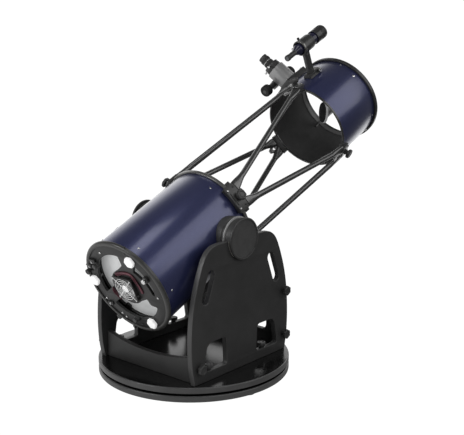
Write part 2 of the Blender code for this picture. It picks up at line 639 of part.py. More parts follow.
# ---------------------------------------------------------------- focuser
def build_focuser():
    """Base block, body with the pinion's housing, drawtube, eyepiece and the two knobs on their axle."""
    bore, axle = 0.0262, Vector((AXLE_X, 0, AXLE_Z))
    base = block("focuser_base", (-0.056, -0.052, 0.130), (0.056, 0.052, 0.1655), CAST, FOCUS)
    base_bore = rod("base_bore", (0, 0, 0.10), (0, 0, 0.20), bore, CAST, FOCUS, 32, CUTTERS)
    boolean(base, "DIFFERENCE", [tube_cutter("tube_space_focuser", 0.65, 0.87), base_bore])

    body = rod("focuser_body", (0, 0, 0.1658), (0, 0, 0.2340), 0.035, GREY, FOCUS, 32)
    housing = block("pinion_housing", (-0.052, -0.030, 0.187), (-0.020, 0.030, 0.214), GREY, FOCUS, CUTTERS)
    out = Vector((0, 0.0545, 0))
    sleeve = rod("axle_sleeve", axle - out, axle + out, 0.0105, GREY, FOCUS, 24, CUTTERS)
    boolean(body, "UNION", [housing, sleeve])
    body_bore = rod("body_bore", (0, 0, 0.10), (0, 0, 0.30), bore, CAST, FOCUS, 32, CUTTERS)
    axle_bore = rod("axle_bore", axle - 2 * out, axle + 2 * out, 0.0045, CAST, FOCUS, 16, CUTTERS)
    boolean(body, "DIFFERENCE", [body_bore, axle_bore])

    collar, tube, inside, socket, top, shoulder, foot = 0.0295, 0.0258, 0.0236, 0.0162, 0.2560, 0.2346, 0.1520
    turned("focuser_drawtube", [(collar, top), (collar, shoulder), (tube, shoulder), (tube, foot),
                                (inside, foot), (inside, shoulder + 0.0014), (socket, shoulder + 0.0014),
                                (socket, top)],
           CAST, FOCUS, steps=32, closed=True)
    seat, barrel = top + FIT, socket - 0.0004
    turned("eyepiece", [(0, 0.3000), (0.0165, 0.3000), (0.0175, 0.2985), (0.0175, 0.2740), (0.0185, 0.2720),
                        (0.0185, seat), (barrel, seat), (barrel, 0.2380), (0, 0.2380)],
           PLASTIC, FOCUS, steps=24)
    knob, near, far = 0.0205, 0.057, 0.087
    turned("focus_knobs", [(0, far), (knob, far), (knob, near), (0.004, near), (0.004, -near), (knob, -near),
                           (knob, -far), (0, -far)],
           RUBBER, FOCUS, axle, ALONG_TUBE, steps=24)


# ---------------------------------------------------------------- finder
def build_finder():
    """Finder scope in a deep ring on a stalk and shoe."""
    centre = (0, 0, FINDER_HEIGHT)
    outer, inner, neck, near, far, lip = 0.0262, 0.0225, 0.0189, 0.716, 0.778, 0.766
    profile = [(outer, far), (outer, near), (inner, near), (inner, lip), (neck, lip), (neck, far)]
    ring = as_mesh(turned("finder_bracket", profile, CAST, AXIS, centre, ALONG_TUBE, steps=28, closed=True))
    stalk = block("finder_stalk", (-0.0065, 0.732, 0.160), (0.0065, 0.760, 0.2480), CAST, AXIS, CUTTERS)
    shoe = block("finder_shoe", (-0.0130, 0.722, 0.145), (0.0130, 0.788, 0.1660), CAST, AXIS, CUTTERS)
    boolean(ring, "UNION", [stalk, shoe])
    boolean(ring, "DIFFERENCE", [tube_cutter("tube_space_finder", 0.65, 0.87)])
    shade, lens, body, barrel, tail, cup = 0.0245, 0.0222, 0.0205, 0.0185, 0.0094, 0.0105
    turned("finder_scope", [(0, 0.847), (lens, 0.847), (lens, 0.859), (shade, 0.859), (shade, 0.804),
                            (body, 0.804), (body, far + FIT), (barrel, far + FIT), (barrel, 0.706),
                            (tail, 0.690), (tail, 0.652), (cup, 0.652), (cup, 0.640), (0, 0.640)],
           BLUE, AXIS, centre, ALONG_TUBE, steps=24)


build_ground()
build_rocker()
build_lower_tube()
build_cell()
build_bearings()
build_truss()
build_upper_tube()
build_secondary()
build_focuser()
build_finder()
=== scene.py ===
"""Looks of the truss-tube dobsonian telescope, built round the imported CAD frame.

+Z is up, +Y the direction that the tube points in, +X along the altitude axis. The parts
are written in millimetres, and turned into metres where they are placed. A place on the
tube is (x, s, u): across it, along it from the altitude axis, and up from its own axis.
An angle round the tube counts from u towards x.
"""
import json
import math

import bmesh
import bpy
from mathutils import Matrix, Vector


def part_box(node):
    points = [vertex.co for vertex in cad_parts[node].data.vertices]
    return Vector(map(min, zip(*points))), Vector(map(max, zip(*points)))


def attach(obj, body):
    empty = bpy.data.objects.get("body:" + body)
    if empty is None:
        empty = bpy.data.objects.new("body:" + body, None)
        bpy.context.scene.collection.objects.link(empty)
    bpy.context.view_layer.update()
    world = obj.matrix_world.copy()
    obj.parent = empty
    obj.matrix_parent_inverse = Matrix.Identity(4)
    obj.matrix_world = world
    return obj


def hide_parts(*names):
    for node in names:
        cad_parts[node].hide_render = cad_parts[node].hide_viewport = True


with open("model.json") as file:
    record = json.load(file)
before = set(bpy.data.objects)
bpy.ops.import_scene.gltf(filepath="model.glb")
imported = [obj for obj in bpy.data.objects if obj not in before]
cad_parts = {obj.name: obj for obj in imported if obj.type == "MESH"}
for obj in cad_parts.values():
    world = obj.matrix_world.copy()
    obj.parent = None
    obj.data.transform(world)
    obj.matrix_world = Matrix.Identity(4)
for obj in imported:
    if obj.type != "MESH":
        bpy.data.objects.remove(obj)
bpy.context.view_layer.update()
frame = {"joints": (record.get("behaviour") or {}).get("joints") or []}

JOINTS = {joint["name"]: joint for joint in frame["joints"]}
TAU = math.tau
CORNERS = [(-1, -1), (-1, 1), (1, -1), (1, 1)]
MM = 0.001
WELD = 0.01 * MM                            # vertices closer than this become one


# ---------------------------------------------------------------- frames of reference
PIVOT = Vector(JOINTS["altitude"]["pos_m"])
POINTING = Vector(JOINTS["fan_spin"]["axis"]).normalized()
TILT = math.atan2(POINTING.z, POINTING.y)
TUBE = Matrix.Translation(PIVOT) @ Matrix.Rotation(TILT, 4, "X")
ROW = Matrix.Identity(4)


def put(where, x, y, z):
    """Place in metres of a point that a frame gives in millimetres."""
    return where @ (Vector((x, y, z)) * MM)


def shift(x=0.0, y=0.0, z=0.0):
    return Matrix.Translation(Vector((x, y, z)) * MM)


def box(node):
    """Lowest and highest corner of a CAD node at rest, in millimetres."""
    low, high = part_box(node)
    return low / MM, high / MM


def spin(degrees, axis):
    return Matrix.Rotation(math.radians(degrees), 4, axis)


def around(degrees, s=0.0, radius=0.0):
    """Frame on the tube: local z radial at that angle, local y along the tube."""
    return TUBE @ spin(degrees, "Y") @ shift(0, s, radius)


def across(s=0.0):
    """Frame across the tube: local x and y are x and u, local z points back down the tube."""
    return TUBE @ shift(0, s, 0) @ spin(90, "X")


LENGTHWISE = TUBE @ spin(-90, "X")          # local z runs along the tube
UPWARD = spin(-90, "X")                     # turns local z to local y


def tube_point(x, s, u):
    return put(TUBE, x, s, u)


def polar(radius, degrees):
    a = math.radians(degrees)
    return (radius * math.sin(a), radius * math.cos(a))


# ---------------------------------------------------------------- material nodes
class Graph:
    """A small helper that adds nodes to one node tree."""

    def __init__(self, tree, coordinate):
        self.tree = tree
        self.place = self.node("ShaderNodeTexCoord").outputs[coordinate]

    def node(self, kind, **values):
        made = self.tree.nodes.new(kind)
        for key, value in values.items():
            if hasattr(made, key):
                setattr(made, key, value)
            else:
                made.inputs[key.replace("_", " ")].default_value = value
        return made

    def link(self, source, target):
        self.tree.links.new(source, target)

    def noise(self, scale, detail=3.0):
        made = self.node("ShaderNodeTexNoise", Scale=scale, Detail=detail, Roughness=0.55)
        self.link(self.place, made.inputs["Vector"])
        return made.outputs["Fac"]

    def voronoi(self, scale, feature="F1", output="Distance"):
        made = self.node("ShaderNodeTexVoronoi", Scale=scale, feature=feature)
        self.link(self.place, made.inputs["Vector"])
        return made.outputs[output]

    def ramp(self, source, stops):
        made = self.node("ShaderNodeValToRGB")
        elements = made.color_ramp.elements
        while len(elements) < len(stops):
            elements.new(0.5)
        for element, (position, color) in zip(elements, stops):
            element.position = position
            element.color = (*color, 1.0)
        self.link(source, made.inputs["Fac"])
        return made.outputs["Color"]

    def spread(self, source, low, high, start=0.0, end=1.0, kind="LINEAR"):
        """Value that runs from low to high while the source runs from start to end."""
        made = self.node("ShaderNodeMapRange", interpolation_type=kind, From_Min=start, From_Max=end,
                         To_Min=low, To_Max=high)
        self.link(source, made.inputs["Value"])
        return made.outputs["Result"]

    def ease(self, source, start, end, low=0.0, high=1.0):
        return self.spread(source, low, high, start, end, "SMOOTHSTEP")

    def along(self, direction):
        """How far a place lies in one direction."""
        made = self.node("ShaderNodeVectorMath", operation="DOT_PRODUCT")
        self.link(self.place, made.inputs[0])
        made.inputs[1].default_value = direction
        return made.outputs["Value"]

    def axis(self, name):
        made = self.node("ShaderNodeSeparateXYZ")
        self.link(self.place, made.inputs["Vector"])
        return made.outputs[name]

    def combine(self, operation, first, second):
        made = self.node("ShaderNodeMath", operation=operation)
        self.link(first, made.inputs[0])
        self.link(second, made.inputs[1])
        return made.outputs["Value"]

    def white_to_camera(self, strength):
        """White where the camera looks straight at it; the given strength lights the telescope."""
        made = self.node("ShaderNodeMix")
        self.link(self.node("ShaderNodeLightPath").outputs["Is Camera Ray"], made.inputs["Factor"])
        self.link(strength, made.inputs["A"])
        made.inputs["B"].default_value = 1.05
        return made.outputs["Result"]


class Shader(Graph):
    """The node tree of one new material."""

    def __init__(self, name, **sockets):
        self.material = bpy.data.materials.new(name)
        self.material.use_nodes = True
        super().__init__(self.material.node_tree, "Object")
        self.body = self.tree.nodes["Principled BSDF"]
        for socket, value in sockets.items():
            self.body.inputs[socket.replace("_", " ").title().replace("Ior", "IOR")].default_value = value

    def color(self, source):
        self.link(source, self.body.inputs["Base Color"])

    def mottle(self, scale, detail, low, high, width=0.2):
        """Colour that drifts between two tones in soft patches."""
        tone = self.ramp(self.noise(scale, detail), [(0.5 - width, low), (0.5 + width, high)])
        self.color(tone)
        return tone

    def glow(self, tone):
        self.link(tone, self.body.inputs["Emission Color"])

    def rough(self, source, low, high):
        self.link(self.spread(source, low, high), self.body.inputs["Roughness"])

    def bump(self, source, height, strength=1.0):
        made = self.node("ShaderNodeBump", Strength=strength, Distance=height)
        self.link(source, made.inputs["Height"])
        previous = self.body.inputs["Normal"].links
        if previous:
            self.link(previous[0].from_socket, made.inputs["Normal"])
        self.link(made.outputs["Normal"], self.body.inputs["Normal"])


def grey(value):
    return (value, value, value)


def metallic_paint():
    """Deep blue flake paint under clear lacquer."""
    made = Shader("blue_metallic_paint", metallic=0.5, coat_weight=1.0, coat_roughness=0.18, coat_ior=1.45,
                  specular_ior_level=0.5)
    split = made.node("ShaderNodeSeparateColor")
    made.link(made.voronoi(2600.0, output="Color"), split.inputs["Color"])
    made.color(made.ramp(split.outputs["Red"], [(0.0, (0.026, 0.032, 0.100)), (0.75, (0.034, 0.040, 0.125)),
                                                (1.0, (0.075, 0.085, 0.200))]))
    made.rough(made.noise(9.0, 2.0), 0.30, 0.38)
    made.bump(made.noise(420.0, 1.0), 0.00002, 0.35)
    return made.material


def tube_lining():
    """Flat black inside the tubes."""
    made = Shader("matt_black_lining", specular_ior_level=0.35)
    made.mottle(26.0, 5.0, grey(0.036), grey(0.050))
    made.rough(made.noise(60.0), 0.55, 0.75)
    made.bump(made.noise(900.0, 2.0), 0.00005, 0.5)
    return made.material


def powder_coat(name, low, high, rough_low, rough_high, grain=1500.0, tint=(1.0, 1.0, 1.0), metal=0.0):
    """Black coated aluminium with a fine pebble; an anodised one keeps some of the metal's sheen."""
    made = Shader(name, metallic=metal, specular_ior_level=0.5)
    made.mottle(34.0, 5.0, tuple(low * t for t in tint), tuple(high * t for t in tint))
    made.rough(made.noise(120.0, 4.0), rough_low, rough_high)
    made.bump(made.voronoi(grain), 0.00004, 0.45)
    return made.material


def laminate(name, low, high, rough_low, rough_high):
    """Black melamine board: faint mottling and a leather-like press."""
    made = Shader(name, specular_ior_level=0.5)
    made.mottle(18.0, 6.0, grey(low), grey(high))
    made.rough(made.noise(45.0, 5.0), rough_low, rough_high)
    made.bump(made.voronoi(900.0, "SMOOTH_F1"), 0.00004, 0.35)
    made.bump(made.noise(160.0, 3.0), 0.00004, 0.25)
    return made.material


def moulded(name, low, high, rough_low=0.35, rough_high=0.5, glow=0.0):
    """Injection-moulded plastic; a glow, where one is given, is painted light that makes the part brighter
    than its lamps make it.
    """
    made = Shader(name, specular_ior_level=0.45, emission_strength=glow)
    made.glow(made.mottle(55.0, 4.0, low, high))
    made.rough(made.noise(200.0, 3.0), rough_low, rough_high)
    made.bump(made.noise(1400.0, 2.0), 0.00003, 0.4)
    return made.material


def bright_metal(name, tone, rough_low, rough_high):
    made = Shader(name, metallic=1.0)
    made.mottle(70.0, 4.0, grey(tone * 0.88), grey(tone))
    made.rough(made.noise(300.0, 3.0), rough_low, rough_high)
    made.bump(made.noise(500.0, 3.0), 0.00001, 0.4)
    return made.material


def ground_glass_painted_glow():
    """Frosted back and side of the mirror; a painted glow in broad soft patches keeps it pale."""
    made = Shader("ground_glass_painted_glow", metallic=0.15, emission_strength=0.16)
    made.glow(made.mottle(4.0, 5.0, (0.66, 0.67, 0.67), (0.95, 0.96, 0.96)))
    made.rough(made.noise(90.0, 4.0), 0.34, 0.46)
    made.bump(made.noise(1600.0, 2.0), 0.00003, 0.4)
    return made.material


def silvered():
    made = Shader("aluminised_surface", metallic=1.0)
    made.mottle(6.0, 2.0, (0.86, 0.88, 0.90), (0.90, 0.92, 0.94))
    made.rough(made.noise(240.0, 2.0), 0.015, 0.030)
    return made.material


def lens_glass():
    """Coated lens, dark with a green-violet bloom."""
    made = Shader("coated_lens", coat_weight=1.0, coat_roughness=0.02, specular_ior_level=0.8)
    made.mottle(60.0, 1.0, (0.006, 0.012, 0.020), (0.020, 0.010, 0.030), 0.15)
    made.rough(made.noise(40.0), 0.03, 0.06)
    return made.material


def soft_rubber():
    made = Shader("black_rubber", specular_ior_level=0.35)
    made.mottle(80.0, 4.0, grey(0.014), grey(0.026))
    made.rough(made.noise(160.0), 0.6, 0.8)
    made.bump(made.noise(1200.0, 3.0), 0.00005, 0.5)
    return made.material


PAINT = metallic_paint()
LINING = tube_lining()
CAST = powder_coat("black_powder_coat", 0.050, 0.070, 0.28, 0.38, metal=0.45)
CELL_COAT = powder_coat("cell_powder_coat", 0.010, 0.016, 0.38, 0.50)
RING_COAT = powder_coat("ring_powder_coat", 0.034, 0.046, 0.24, 0.34, tint=(1.0, 1.0, 0.96))
DRUM_COAT = powder_coat("drum_powder_coat", 0.038, 0.050, 0.40, 0.52)
# a lighter, more metallic copy of the black casting coat for the truss ring and a band on the finder
# bracket: its extra lightness is painted highlight
CAST_WARM_PAINTED_HIGHLIGHT = powder_coat("olive_black_coat_painted_highlight", 0.190, 0.240, 0.24, 0.34, tint=(1.0, 1.0, 0.96), metal=0.80)
CLAMP_METAL = powder_coat("satin_clamp_metal", 0.30, 0.38, 0.22, 0.32, metal=0.85)
END_BAND = powder_coat("end_band_coat", 0.100, 0.125, 0.34, 0.44)
TRIM = powder_coat("edge_trim_coat", 0.080, 0.104, 0.14, 0.22, metal=0.70)
SCOPE_BLACK = powder_coat("finder_black", 0.026, 0.036, 0.20, 0.28, 2600.0)
POLE = powder_coat("satin_black_pole", 0.120, 0.150, 0.20, 0.28, 2200.0, metal=0.80)
FOCUS_GREY = powder_coat("grey_anodised", 0.29, 0.36, 0.30, 0.38, 2600.0, metal=0.45)
FINDER_BLUE = powder_coat("finder_blue", 0.018, 0.026, 0.10, 0.18, 2600.0, tint=(0.85, 0.85, 1.9))
BOARD = laminate("black_laminate", 0.025, 0.034, 0.46, 0.56)
BOARD_EDGE = laminate("black_edge_band", 0.050, 0.066, 0.36, 0.46)
DISC = laminate("gloss_black_laminate", 0.004, 0.007, 0.16, 0.24)
DISC_EDGE = laminate("disc_edge_band", 0.060, 0.080, 0.28, 0.38)
PLASTIC = moulded("black_moulding", grey(0.030), grey(0.042))
KNOB_FACE = moulded("knob_face", grey(0.055), grey(0.070), 0.36, 0.46)
# white knobs and the fan's hub label: white plastic, with a painted glow on top that keeps them blown out
# to white
WHITE = moulded("white_moulding_painted_glow", grey(0.90), grey(0.95), 0.35, 0.5, glow=0.40)
RED = moulded("dark_red_lead", (0.045, 0.003, 0.010), (0.080, 0.006, 0.018), 0.25, 0.4)
RED_PALE = moulded("pink_lead", (0.170, 0.060, 0.080), (0.220, 0.090, 0.110), 0.25, 0.4)
# fan guard wire: a painted glow keeps its hoops bright all round
PLATED_WIRE = moulded("plated_wire_painted_glow", grey(0.70), grey(0.85), 0.15, 0.30, glow=0.20)
FAN_BLACK = moulded("fan_black", grey(0.006), grey(0.010), 0.35, 0.45)
WASHER_METAL = moulded("washer_metal", grey(0.34), grey(0.44), 0.20, 0.30)
PAD = moulded("low_friction_pad", (0.50, 0.49, 0.45), (0.58, 0.57, 0.53), 0.3, 0.45)
CHROME = bright_metal("chrome", 0.86, 0.05, 0.12)
STEEL = bright_metal("spring_steel", 0.55, 0.22, 0.34)
ZINC = bright_metal("zinc_screw", 0.62, 0.18, 0.30)
GLASS_BACK = ground_glass_painted_glow()
SILVER = silvered()
LENS = lens_glass()
RUBBER = soft_rubber()


# ---------------------------------------------------------------- outlines
def arc(radius, start, end, steps, centre=(0.0, 0.0)):
    """Circle points, angle from +x, both ends included."""
    turns = [math.radians(start + (end - start) * i / steps) for i in range(steps + 1)]
    return [(centre[0] + radius * math.cos(a), centre[1] + radius * math.sin(a)) for a in turns]


def sector(inner, outer, middle, half, steps=24):
    turns = [middle - half + 2 * half * i / steps for i in range(steps + 1)]
    return [polar(outer, t) for t in turns] + [polar(inner, t) for t in reversed(turns)]


def filleted(corners, steps=5, cyclic=True):
    """Rounds each corner (x, y, fillet radius) of a line or loop."""
    points = []
    count = len(corners)
    for i, corner in enumerate(corners):
        x, y = corner[:2]
        radius = corner[2] if len(corner) > 2 else 0.0
        inner = cyclic or 0 < i < count - 1
        if radius <= 0 or not inner:
            points.append((x, y))
            continue
        here = Vector((x, y))
        before = (Vector(corners[i - 1][:2]) - here).normalized()
        after = (Vector(corners[(i + 1) % count][:2]) - here).normalized()
        half = before.angle(after) / 2
        centre = here + (before + after).normalized() * radius / math.sin(half)
        first = here + before * radius / math.tan(half) - centre
        last = here + after * radius / math.tan(half) - centre
        sweep = first.angle_signed(last)
        for k in range(steps + 1):
            a = -sweep * k / steps
            points.append(tuple(centre + Matrix.Rotation(a, 2) @ first))
    return points


def curve_through(knots, steps=8):
    """Smooth open line through its knots (Catmull-Rom)."""
    ends = [knots[0], *knots, knots[-1]]
    points = []
    for i in range(1, len(ends) - 2):
        p0, p1, p2, p3 = (Vector(p) for p in ends[i - 1:i + 3])
        for k in range(steps):
            t = k / steps
            bend = (2 * p0 - 5 * p1 + 4 * p2 - p3) * t ** 2 + (3 * p1 - p0 - 3 * p2 + p3) * t ** 3
            points.append(tuple(0.5 * (2 * p1 + (p2 - p0) * t + bend)))
    return points + [tuple(knots[-1])]


def stadium(start, end, radius, steps=14):
    run = Vector(end) - Vector(start)
    heading = math.degrees(math.atan2(run.y, run.x))
    first = arc(radius, heading + 90, heading + 270, steps, start)
    return first + arc(radius, heading - 90, heading + 90, steps, end)


# ---------------------------------------------------------------- pieces
class Piece:
    """One visible piece: shapes are added to it at rest, then it rides on a body."""

    def __init__(self, name, node=None):
        self.name = name
        self.node = node
        self.bm = bmesh.new()
        self.materials = []

    def index(self, material):
        if material not in self.materials:
            self.materials.append(material)
        return self.materials.index(material)

    def face(self, verts, material):
        made = self.bm.faces.new(verts)
        made.material_index = self.index(material)
        made.smooth = True
        return made

    def loops(self, rings, material, closed=False, ends=True):
        """Skins a row of point rings; a single point makes a pole, closed joins last to first."""
        rows = [[self.bm.verts.new(p) for p in ring] for ring in rings]
        pairs = list(zip(rows, rows[1:]))
        if closed:
            pairs.append((rows[-1], rows[0]))
        for low, high in pairs:
            count = max(len(low), len(high))
            for i in range(count):
                j = (i + 1) % count
                if len(low) == 1 and len(high) == 1:
                    continue
                if len(low) == 1:
                    self.face((low[0], high[j], high[i]), material)
                elif len(high) == 1:
                    self.face((low[i], low[j], high[0]), material)
                else:
                    self.face((low[i], low[j], high[j], high[i]), material)
        if ends and not closed:
            for row, flip in ((rows[0], True), (rows[-1], False)):
                if len(row) > 1:
                    self.face(row[::-1] if flip else row, material)
        return self

    def turn(self, profile, where, material, segments=64, closed=False, steps=3, lobes=0, depth=0.0):
        """Turned shape about local z from (radius, height[, fillet]) points, lobed if asked."""
        points = filleted(profile, steps, closed)
        rings = []
        for radius, height in points:
            if radius < 1e-7:
                rings.append([put(where, 0, 0, height)])
                continue
            ring = []
            for i in range(segments):
                a = TAU * i / segments
                r = radius * (1 + depth * math.cos(lobes * a)) if lobes else radius
                ring.append(put(where, r * math.cos(a), r * math.sin(a), height))
            rings.append(ring)
        return self.loops(rings, material, closed, ends=False)

    def add_mesh(self, mesh, where, material):
        mesh.transform(where)
        first = len(self.bm.faces)
        self.bm.from_mesh(mesh)
        self.bm.faces.ensure_lookup_table()
        number = self.index(material)
        for made in self.bm.faces[first:]:
            made.material_index = number
            made.smooth = True
        bpy.data.meshes.remove(mesh)
        return self

    def curve(self, curve, where, material):
        obj = bpy.data.objects.new("outline", curve)
        bpy.context.scene.collection.objects.link(obj)
        bpy.context.view_layer.update()
        mesh = bpy.data.meshes.new_from_object(obj.evaluated_get(bpy.context.evaluated_depsgraph_get()))
        bpy.data.objects.remove(obj)
        welded = bmesh.new()
        welded.from_mesh(mesh)
        bmesh.ops.remove_doubles(welded, verts=welded.verts, dist=WELD / 2)
        bmesh.ops.recalc_face_normals(welded, faces=welded.faces)
        welded.to_mesh(mesh)
        welded.free()
        return self.add_mesh(mesh, where, material)

    def plate(self, outline, thickness, where, material, holes=(), soft=0.8, rounds=2):
        """Flat plate centred on its plane, its edges softened."""
        curve = bpy.data.curves.new("outline", "CURVE")
        curve.dimensions = "2D"
        curve.fill_mode = "BOTH"
        curve.bevel_depth = soft * MM
        curve.bevel_resolution = rounds
        curve.offset = -soft * MM
        curve.extrude = (thickness / 2 - soft) * MM
        for points in (outline, *holes):
            spline = curve.splines.new("POLY")
            spline.points.add(len(points) - 1)
            for point, (x, y) in zip(spline.points, points):
                point.co = (x * MM, y * MM, 0, 1)
            spline.use_cyclic_u = True
        return self.curve(curve, where, material)

    def wire(self, points, radius, where, material, cyclic=False, sides=2):
        curve = bpy.data.curves.new("wire", "CURVE")
        curve.dimensions = "3D"
        curve.bevel_depth = radius * MM
        curve.bevel_resolution = sides
        curve.use_fill_caps = True
        spline = curve.splines.new("POLY")
        spline.points.add(len(points) - 1)
        for point, place in zip(spline.points, points):
            point.co = (*(value * MM for value in place), 1)
        spline.use_cyclic_u = cyclic
        return self.curve(curve, where, material)

    def block(self, low, high, where, material, soft=1, rounds=3):
        """Box with rounded edges."""
        made = bmesh.new()
        bmesh.ops.create_cube(made, size=1.0)
        size = [(b - a) * MM for a, b in zip(low, high)]
        middle = [(a + b) / 2 for a, b in zip(low, high)]
        bmesh.ops.transform(made, matrix=shift(*middle) @ Matrix.Diagonal((*size, 1)), verts=made.verts)
        bmesh.ops.bevel(made, geom=made.edges, offset=soft * MM, segments=rounds, profile=0.5,
                        affect="EDGES")
        mesh = bpy.data.meshes.new("block")
        made.to_mesh(mesh)
        made.free()
        return self.add_mesh(mesh, where, material)

    def weld(self):
        bmesh.ops.remove_doubles(self.bm, verts=self.bm.verts, dist=WELD)

    def finished(self):
        """The piece's object, its outward faces set."""
        mesh = bpy.data.meshes.new(self.name)
        bmesh.ops.recalc_face_normals(self.bm, faces=self.bm.faces)
        self.bm.to_mesh(mesh)
        self.bm.free()
        for material in self.materials:
            mesh.materials.append(material)
        obj = bpy.data.objects.new(self.name, mesh)
        bpy.context.scene.collection.objects.link(obj)
        return obj

    def ride(self, body, slot, sharp=32):
        obj = self.finished()
        obj.data.set_sharp_from_angle(angle=math.radians(sharp))
        if self.node:
            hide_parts(self.node)
        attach(obj, body)
        return obj


def shaped(node):
    """A detailed piece that stands for a CAD node."""
    return Piece(node + "_shaped", node)


def cap_screw(piece, where, radius, height, material, socket=True):
    """Screw head standing on local z = 0: a cap with a socket, or a plain button."""
    rim = radius * 0.15
    if socket:
        top = [(radius, height, rim), (radius * 0.55, height, rim * 0.5), (radius * 0.50, height * 0.45),
               (0, height * 0.45)]
    else:
        top = [(radius, height * 0.55, rim), (radius * 0.6, height * 0.92, rim), (0, height)]
    piece.turn([(0, 0), (radius, 0, rim), *top], where, material, 24)


def hand_knob(piece, where, radius, height, face=PLASTIC, depth=0.07, lift=0.34):
    """Lobed hand screw standing on local z = 0: a collar, a neck and a dished head."""
    base, collar, neck = height * lift, radius * 0.62, radius * 0.45
    piece.turn([(0, 0), (collar, 0, 0.4), (collar, base * 0.35, 0.4), (neck, base * 0.5, 0.4),
                (neck, base + 1), (0, base + 1)], where, PLASTIC, 32)
    piece.turn([(0, base), (radius * 0.80, base, 1), (radius, base + height * 0.12, 1.2),
                (radius, height * 0.90, 1.4), (radius * 0.86, height, 1.2), (collar, height, 0.8),
                (radius * 0.56, height - 1.4, 0.6), (0, height - 1.4)], where, PLASTIC, 72, lobes=6,
               depth=depth)
    piece.turn([(0, height - 1.6), (radius * 0.50, height - 1.6, 0.3), (radius * 0.46, height - 0.6, 0.3),
                (0, height - 0.6)], where, face, 40)


# ---------------------------------------------------------------- base
def build_base():
    for name, body in (("ground_board", "ground"), ("turntable_board", "turntable")):
        low, high = box(name)
        radius = (high.x - low.x) / 2
        disc = shaped(name)
        lip = 4
        edge = radius - lip
        disc.turn([(0, high.z), (edge, high.z)], ROW, DISC, 160)
        disc.turn([(edge, high.z), (radius, high.z, lip), (radius, low.z, lip), (edge, low.z)], ROW,
                  DISC_EDGE, 160, steps=6)
        disc.turn([(edge, low.z), (0, low.z)], ROW, DISC, 160)
        disc.weld()
        disc.ride(body, "gloss_board", sharp=50)
    for number in (1, 2, 3):
        low, high = box(f"foot_{number}")
        middle = (low + high) / 2
        foot = shaped(f"foot_{number}")
        radius = (high.x - low.x) / 2
        foot.turn([(0, high.z), (radius, high.z, 1), (radius, low.z + 4, 2), (radius - 4, low.z, 1),
                   (0, low.z)], shift(middle.x, middle.y, 0), RUBBER, 48)
        foot.ride("ground", "rubber")
    low, high = box("pivot_bolt")
    bolt = shaped("pivot_bolt")
    top = box("turntable_board")[1].z
    bolt.turn([(0, low.z), (5.8, low.z, 0.5), (5.8, top + 0.3), (13, top + 0.3, 0.4), (13, top + 2, 0.4),
               (9.5, top + 2.4)], ROW, CHROME, 48)
    bolt.turn([(9.5, top + 2.2), (9.5, high.z, 0.8), (5, high.z, 0.4), (4.6, high.z - 2), (0, high.z - 2)],
              ROW, CHROME, 6)
    bolt.ride("ground", "chrome")
    ring = shaped("azimuth_bearing")
    low, high = box("azimuth_bearing")
    ring.turn([(135, high.z, 0.8), (135, low.z, 0.8), (95, low.z, 0.8), (95, high.z, 0.8)], ROW, PAD, 96,
              closed=True)
    ring.ride("ground", "bearing_pad")


# ---------------------------------------------------------------- rocker box
BOARD_THICK = 18
NOTCH = 63.2


def board_outline(foot):
    flank = curve_through([(214, foot), (224.5, 115), (227.5, 190), (220.5, 275), (202.5, 352), (170, 431),
                           (140, 460.5), (108, 468)])
    half = flank + filleted([(90, 468), (NOTCH, 468, 2), (NOTCH, 440)], 4, False)[1:-1]
    notch = arc(NOTCH, 0, -180, 48, (0, PIVOT.z / MM))
    return half + notch[1:-1] + [(-y, z) for y, z in reversed(half)]


def board_holes():
    holes = []
    for side in (-1, 1):
        holes.append(stadium((side * 139, 381), (side * 166, 312), 15.5))
        holes.append(filleted([(side * 70, 90, 8), (side * 74, 177, 12), (side * 159, 177, 28),
                               (side * 174, 90, 8)], 8))
    return holes


def build_rocker():
    stand = spin(90, "Z") @ spin(90, "X")                  # outline x, y to row y, z
    foot = box("side_board_right")[0].z
    for name, side in (("right", 1), ("left", -1)):
        low, high = box("side_board_" + name)
        middle = (low.x + high.x) / 2
        board = shaped(f"side_board_{name}")
        board.plate(board_outline(foot), BOARD_THICK, shift(middle) @ stand, BOARD, board_holes(), soft=1.6,
                    rounds=3)
        edge = board.index(BOARD_EDGE)
        for made in board.bm.faces:
            if abs(made.normal.x) < 0.90:
                made.material_index = edge
        board.ride("turntable", "board")
        pad = shaped(f"cradle_pad_{name}")
        pad.plate(arc(NOTCH - 0.3, -180, 0, 48) + arc(59.4, 0, -180, 48), BOARD_THICK - 1,
                  shift(middle, 0, PIVOT.z / MM) @ stand, PAD, soft=0.4)
        pad.ride("turntable", "bearing_pad")
    half = box("low_panel")[1].x
    wide, sill, head, fillet = 138, 113, 190, 20
    opening = filleted([(-wide, sill, fillet), (-wide, head, fillet), (wide, head, fillet),
                        (wide, sill, fillet)], 8)
    for name, centre, rise, holes in (("low_panel", 117, 26, ()), ("tall_panel", 252, 24, [opening])):
        low, high = box(name)
        top = [(x, centre + rise * (x / half) ** 2) for x in (half - 2 * half * i / 48 for i in range(49))]
        panel = shaped(name)
        panel.plate([(-half, low.z), (half, low.z)] + top, high.y - low.y,
                    shift(0, (low.y + high.y) / 2) @ spin(90, "X"), BOARD, holes, soft=1.4, rounds=3)
        panel.ride("turntable", "board")
    build_board_screws()


def build_board_screws():
    low_y = sum(v.y for v in box("low_panel")) / 2
    tall_y = sum(v.y for v in box("tall_panel")) / 2
    for name, side in (("right", 1), ("left", -1)):
        low, high = box("side_board_" + name)
        face = high.x if side > 0 else -low.x
        screws = Piece(f"panel_screws_{name}")
        for y, z in ((low_y, 109), (tall_y, 258.5), (tall_y, 113)):
            hand_knob(screws, shift(side * (face + 0.2), y, z) @ spin(side * 90, "Y"), 15, 19)
        screws.ride("turntable", "black_plastic")
        upright = Piece(f"board_screws_{name}")
        for y in (-145, 105):
            hand_knob(upright, shift(side * (face - BOARD_THICK / 2), y, 90.2), 14, 18)
        upright.ride("turntable", "black_plastic")


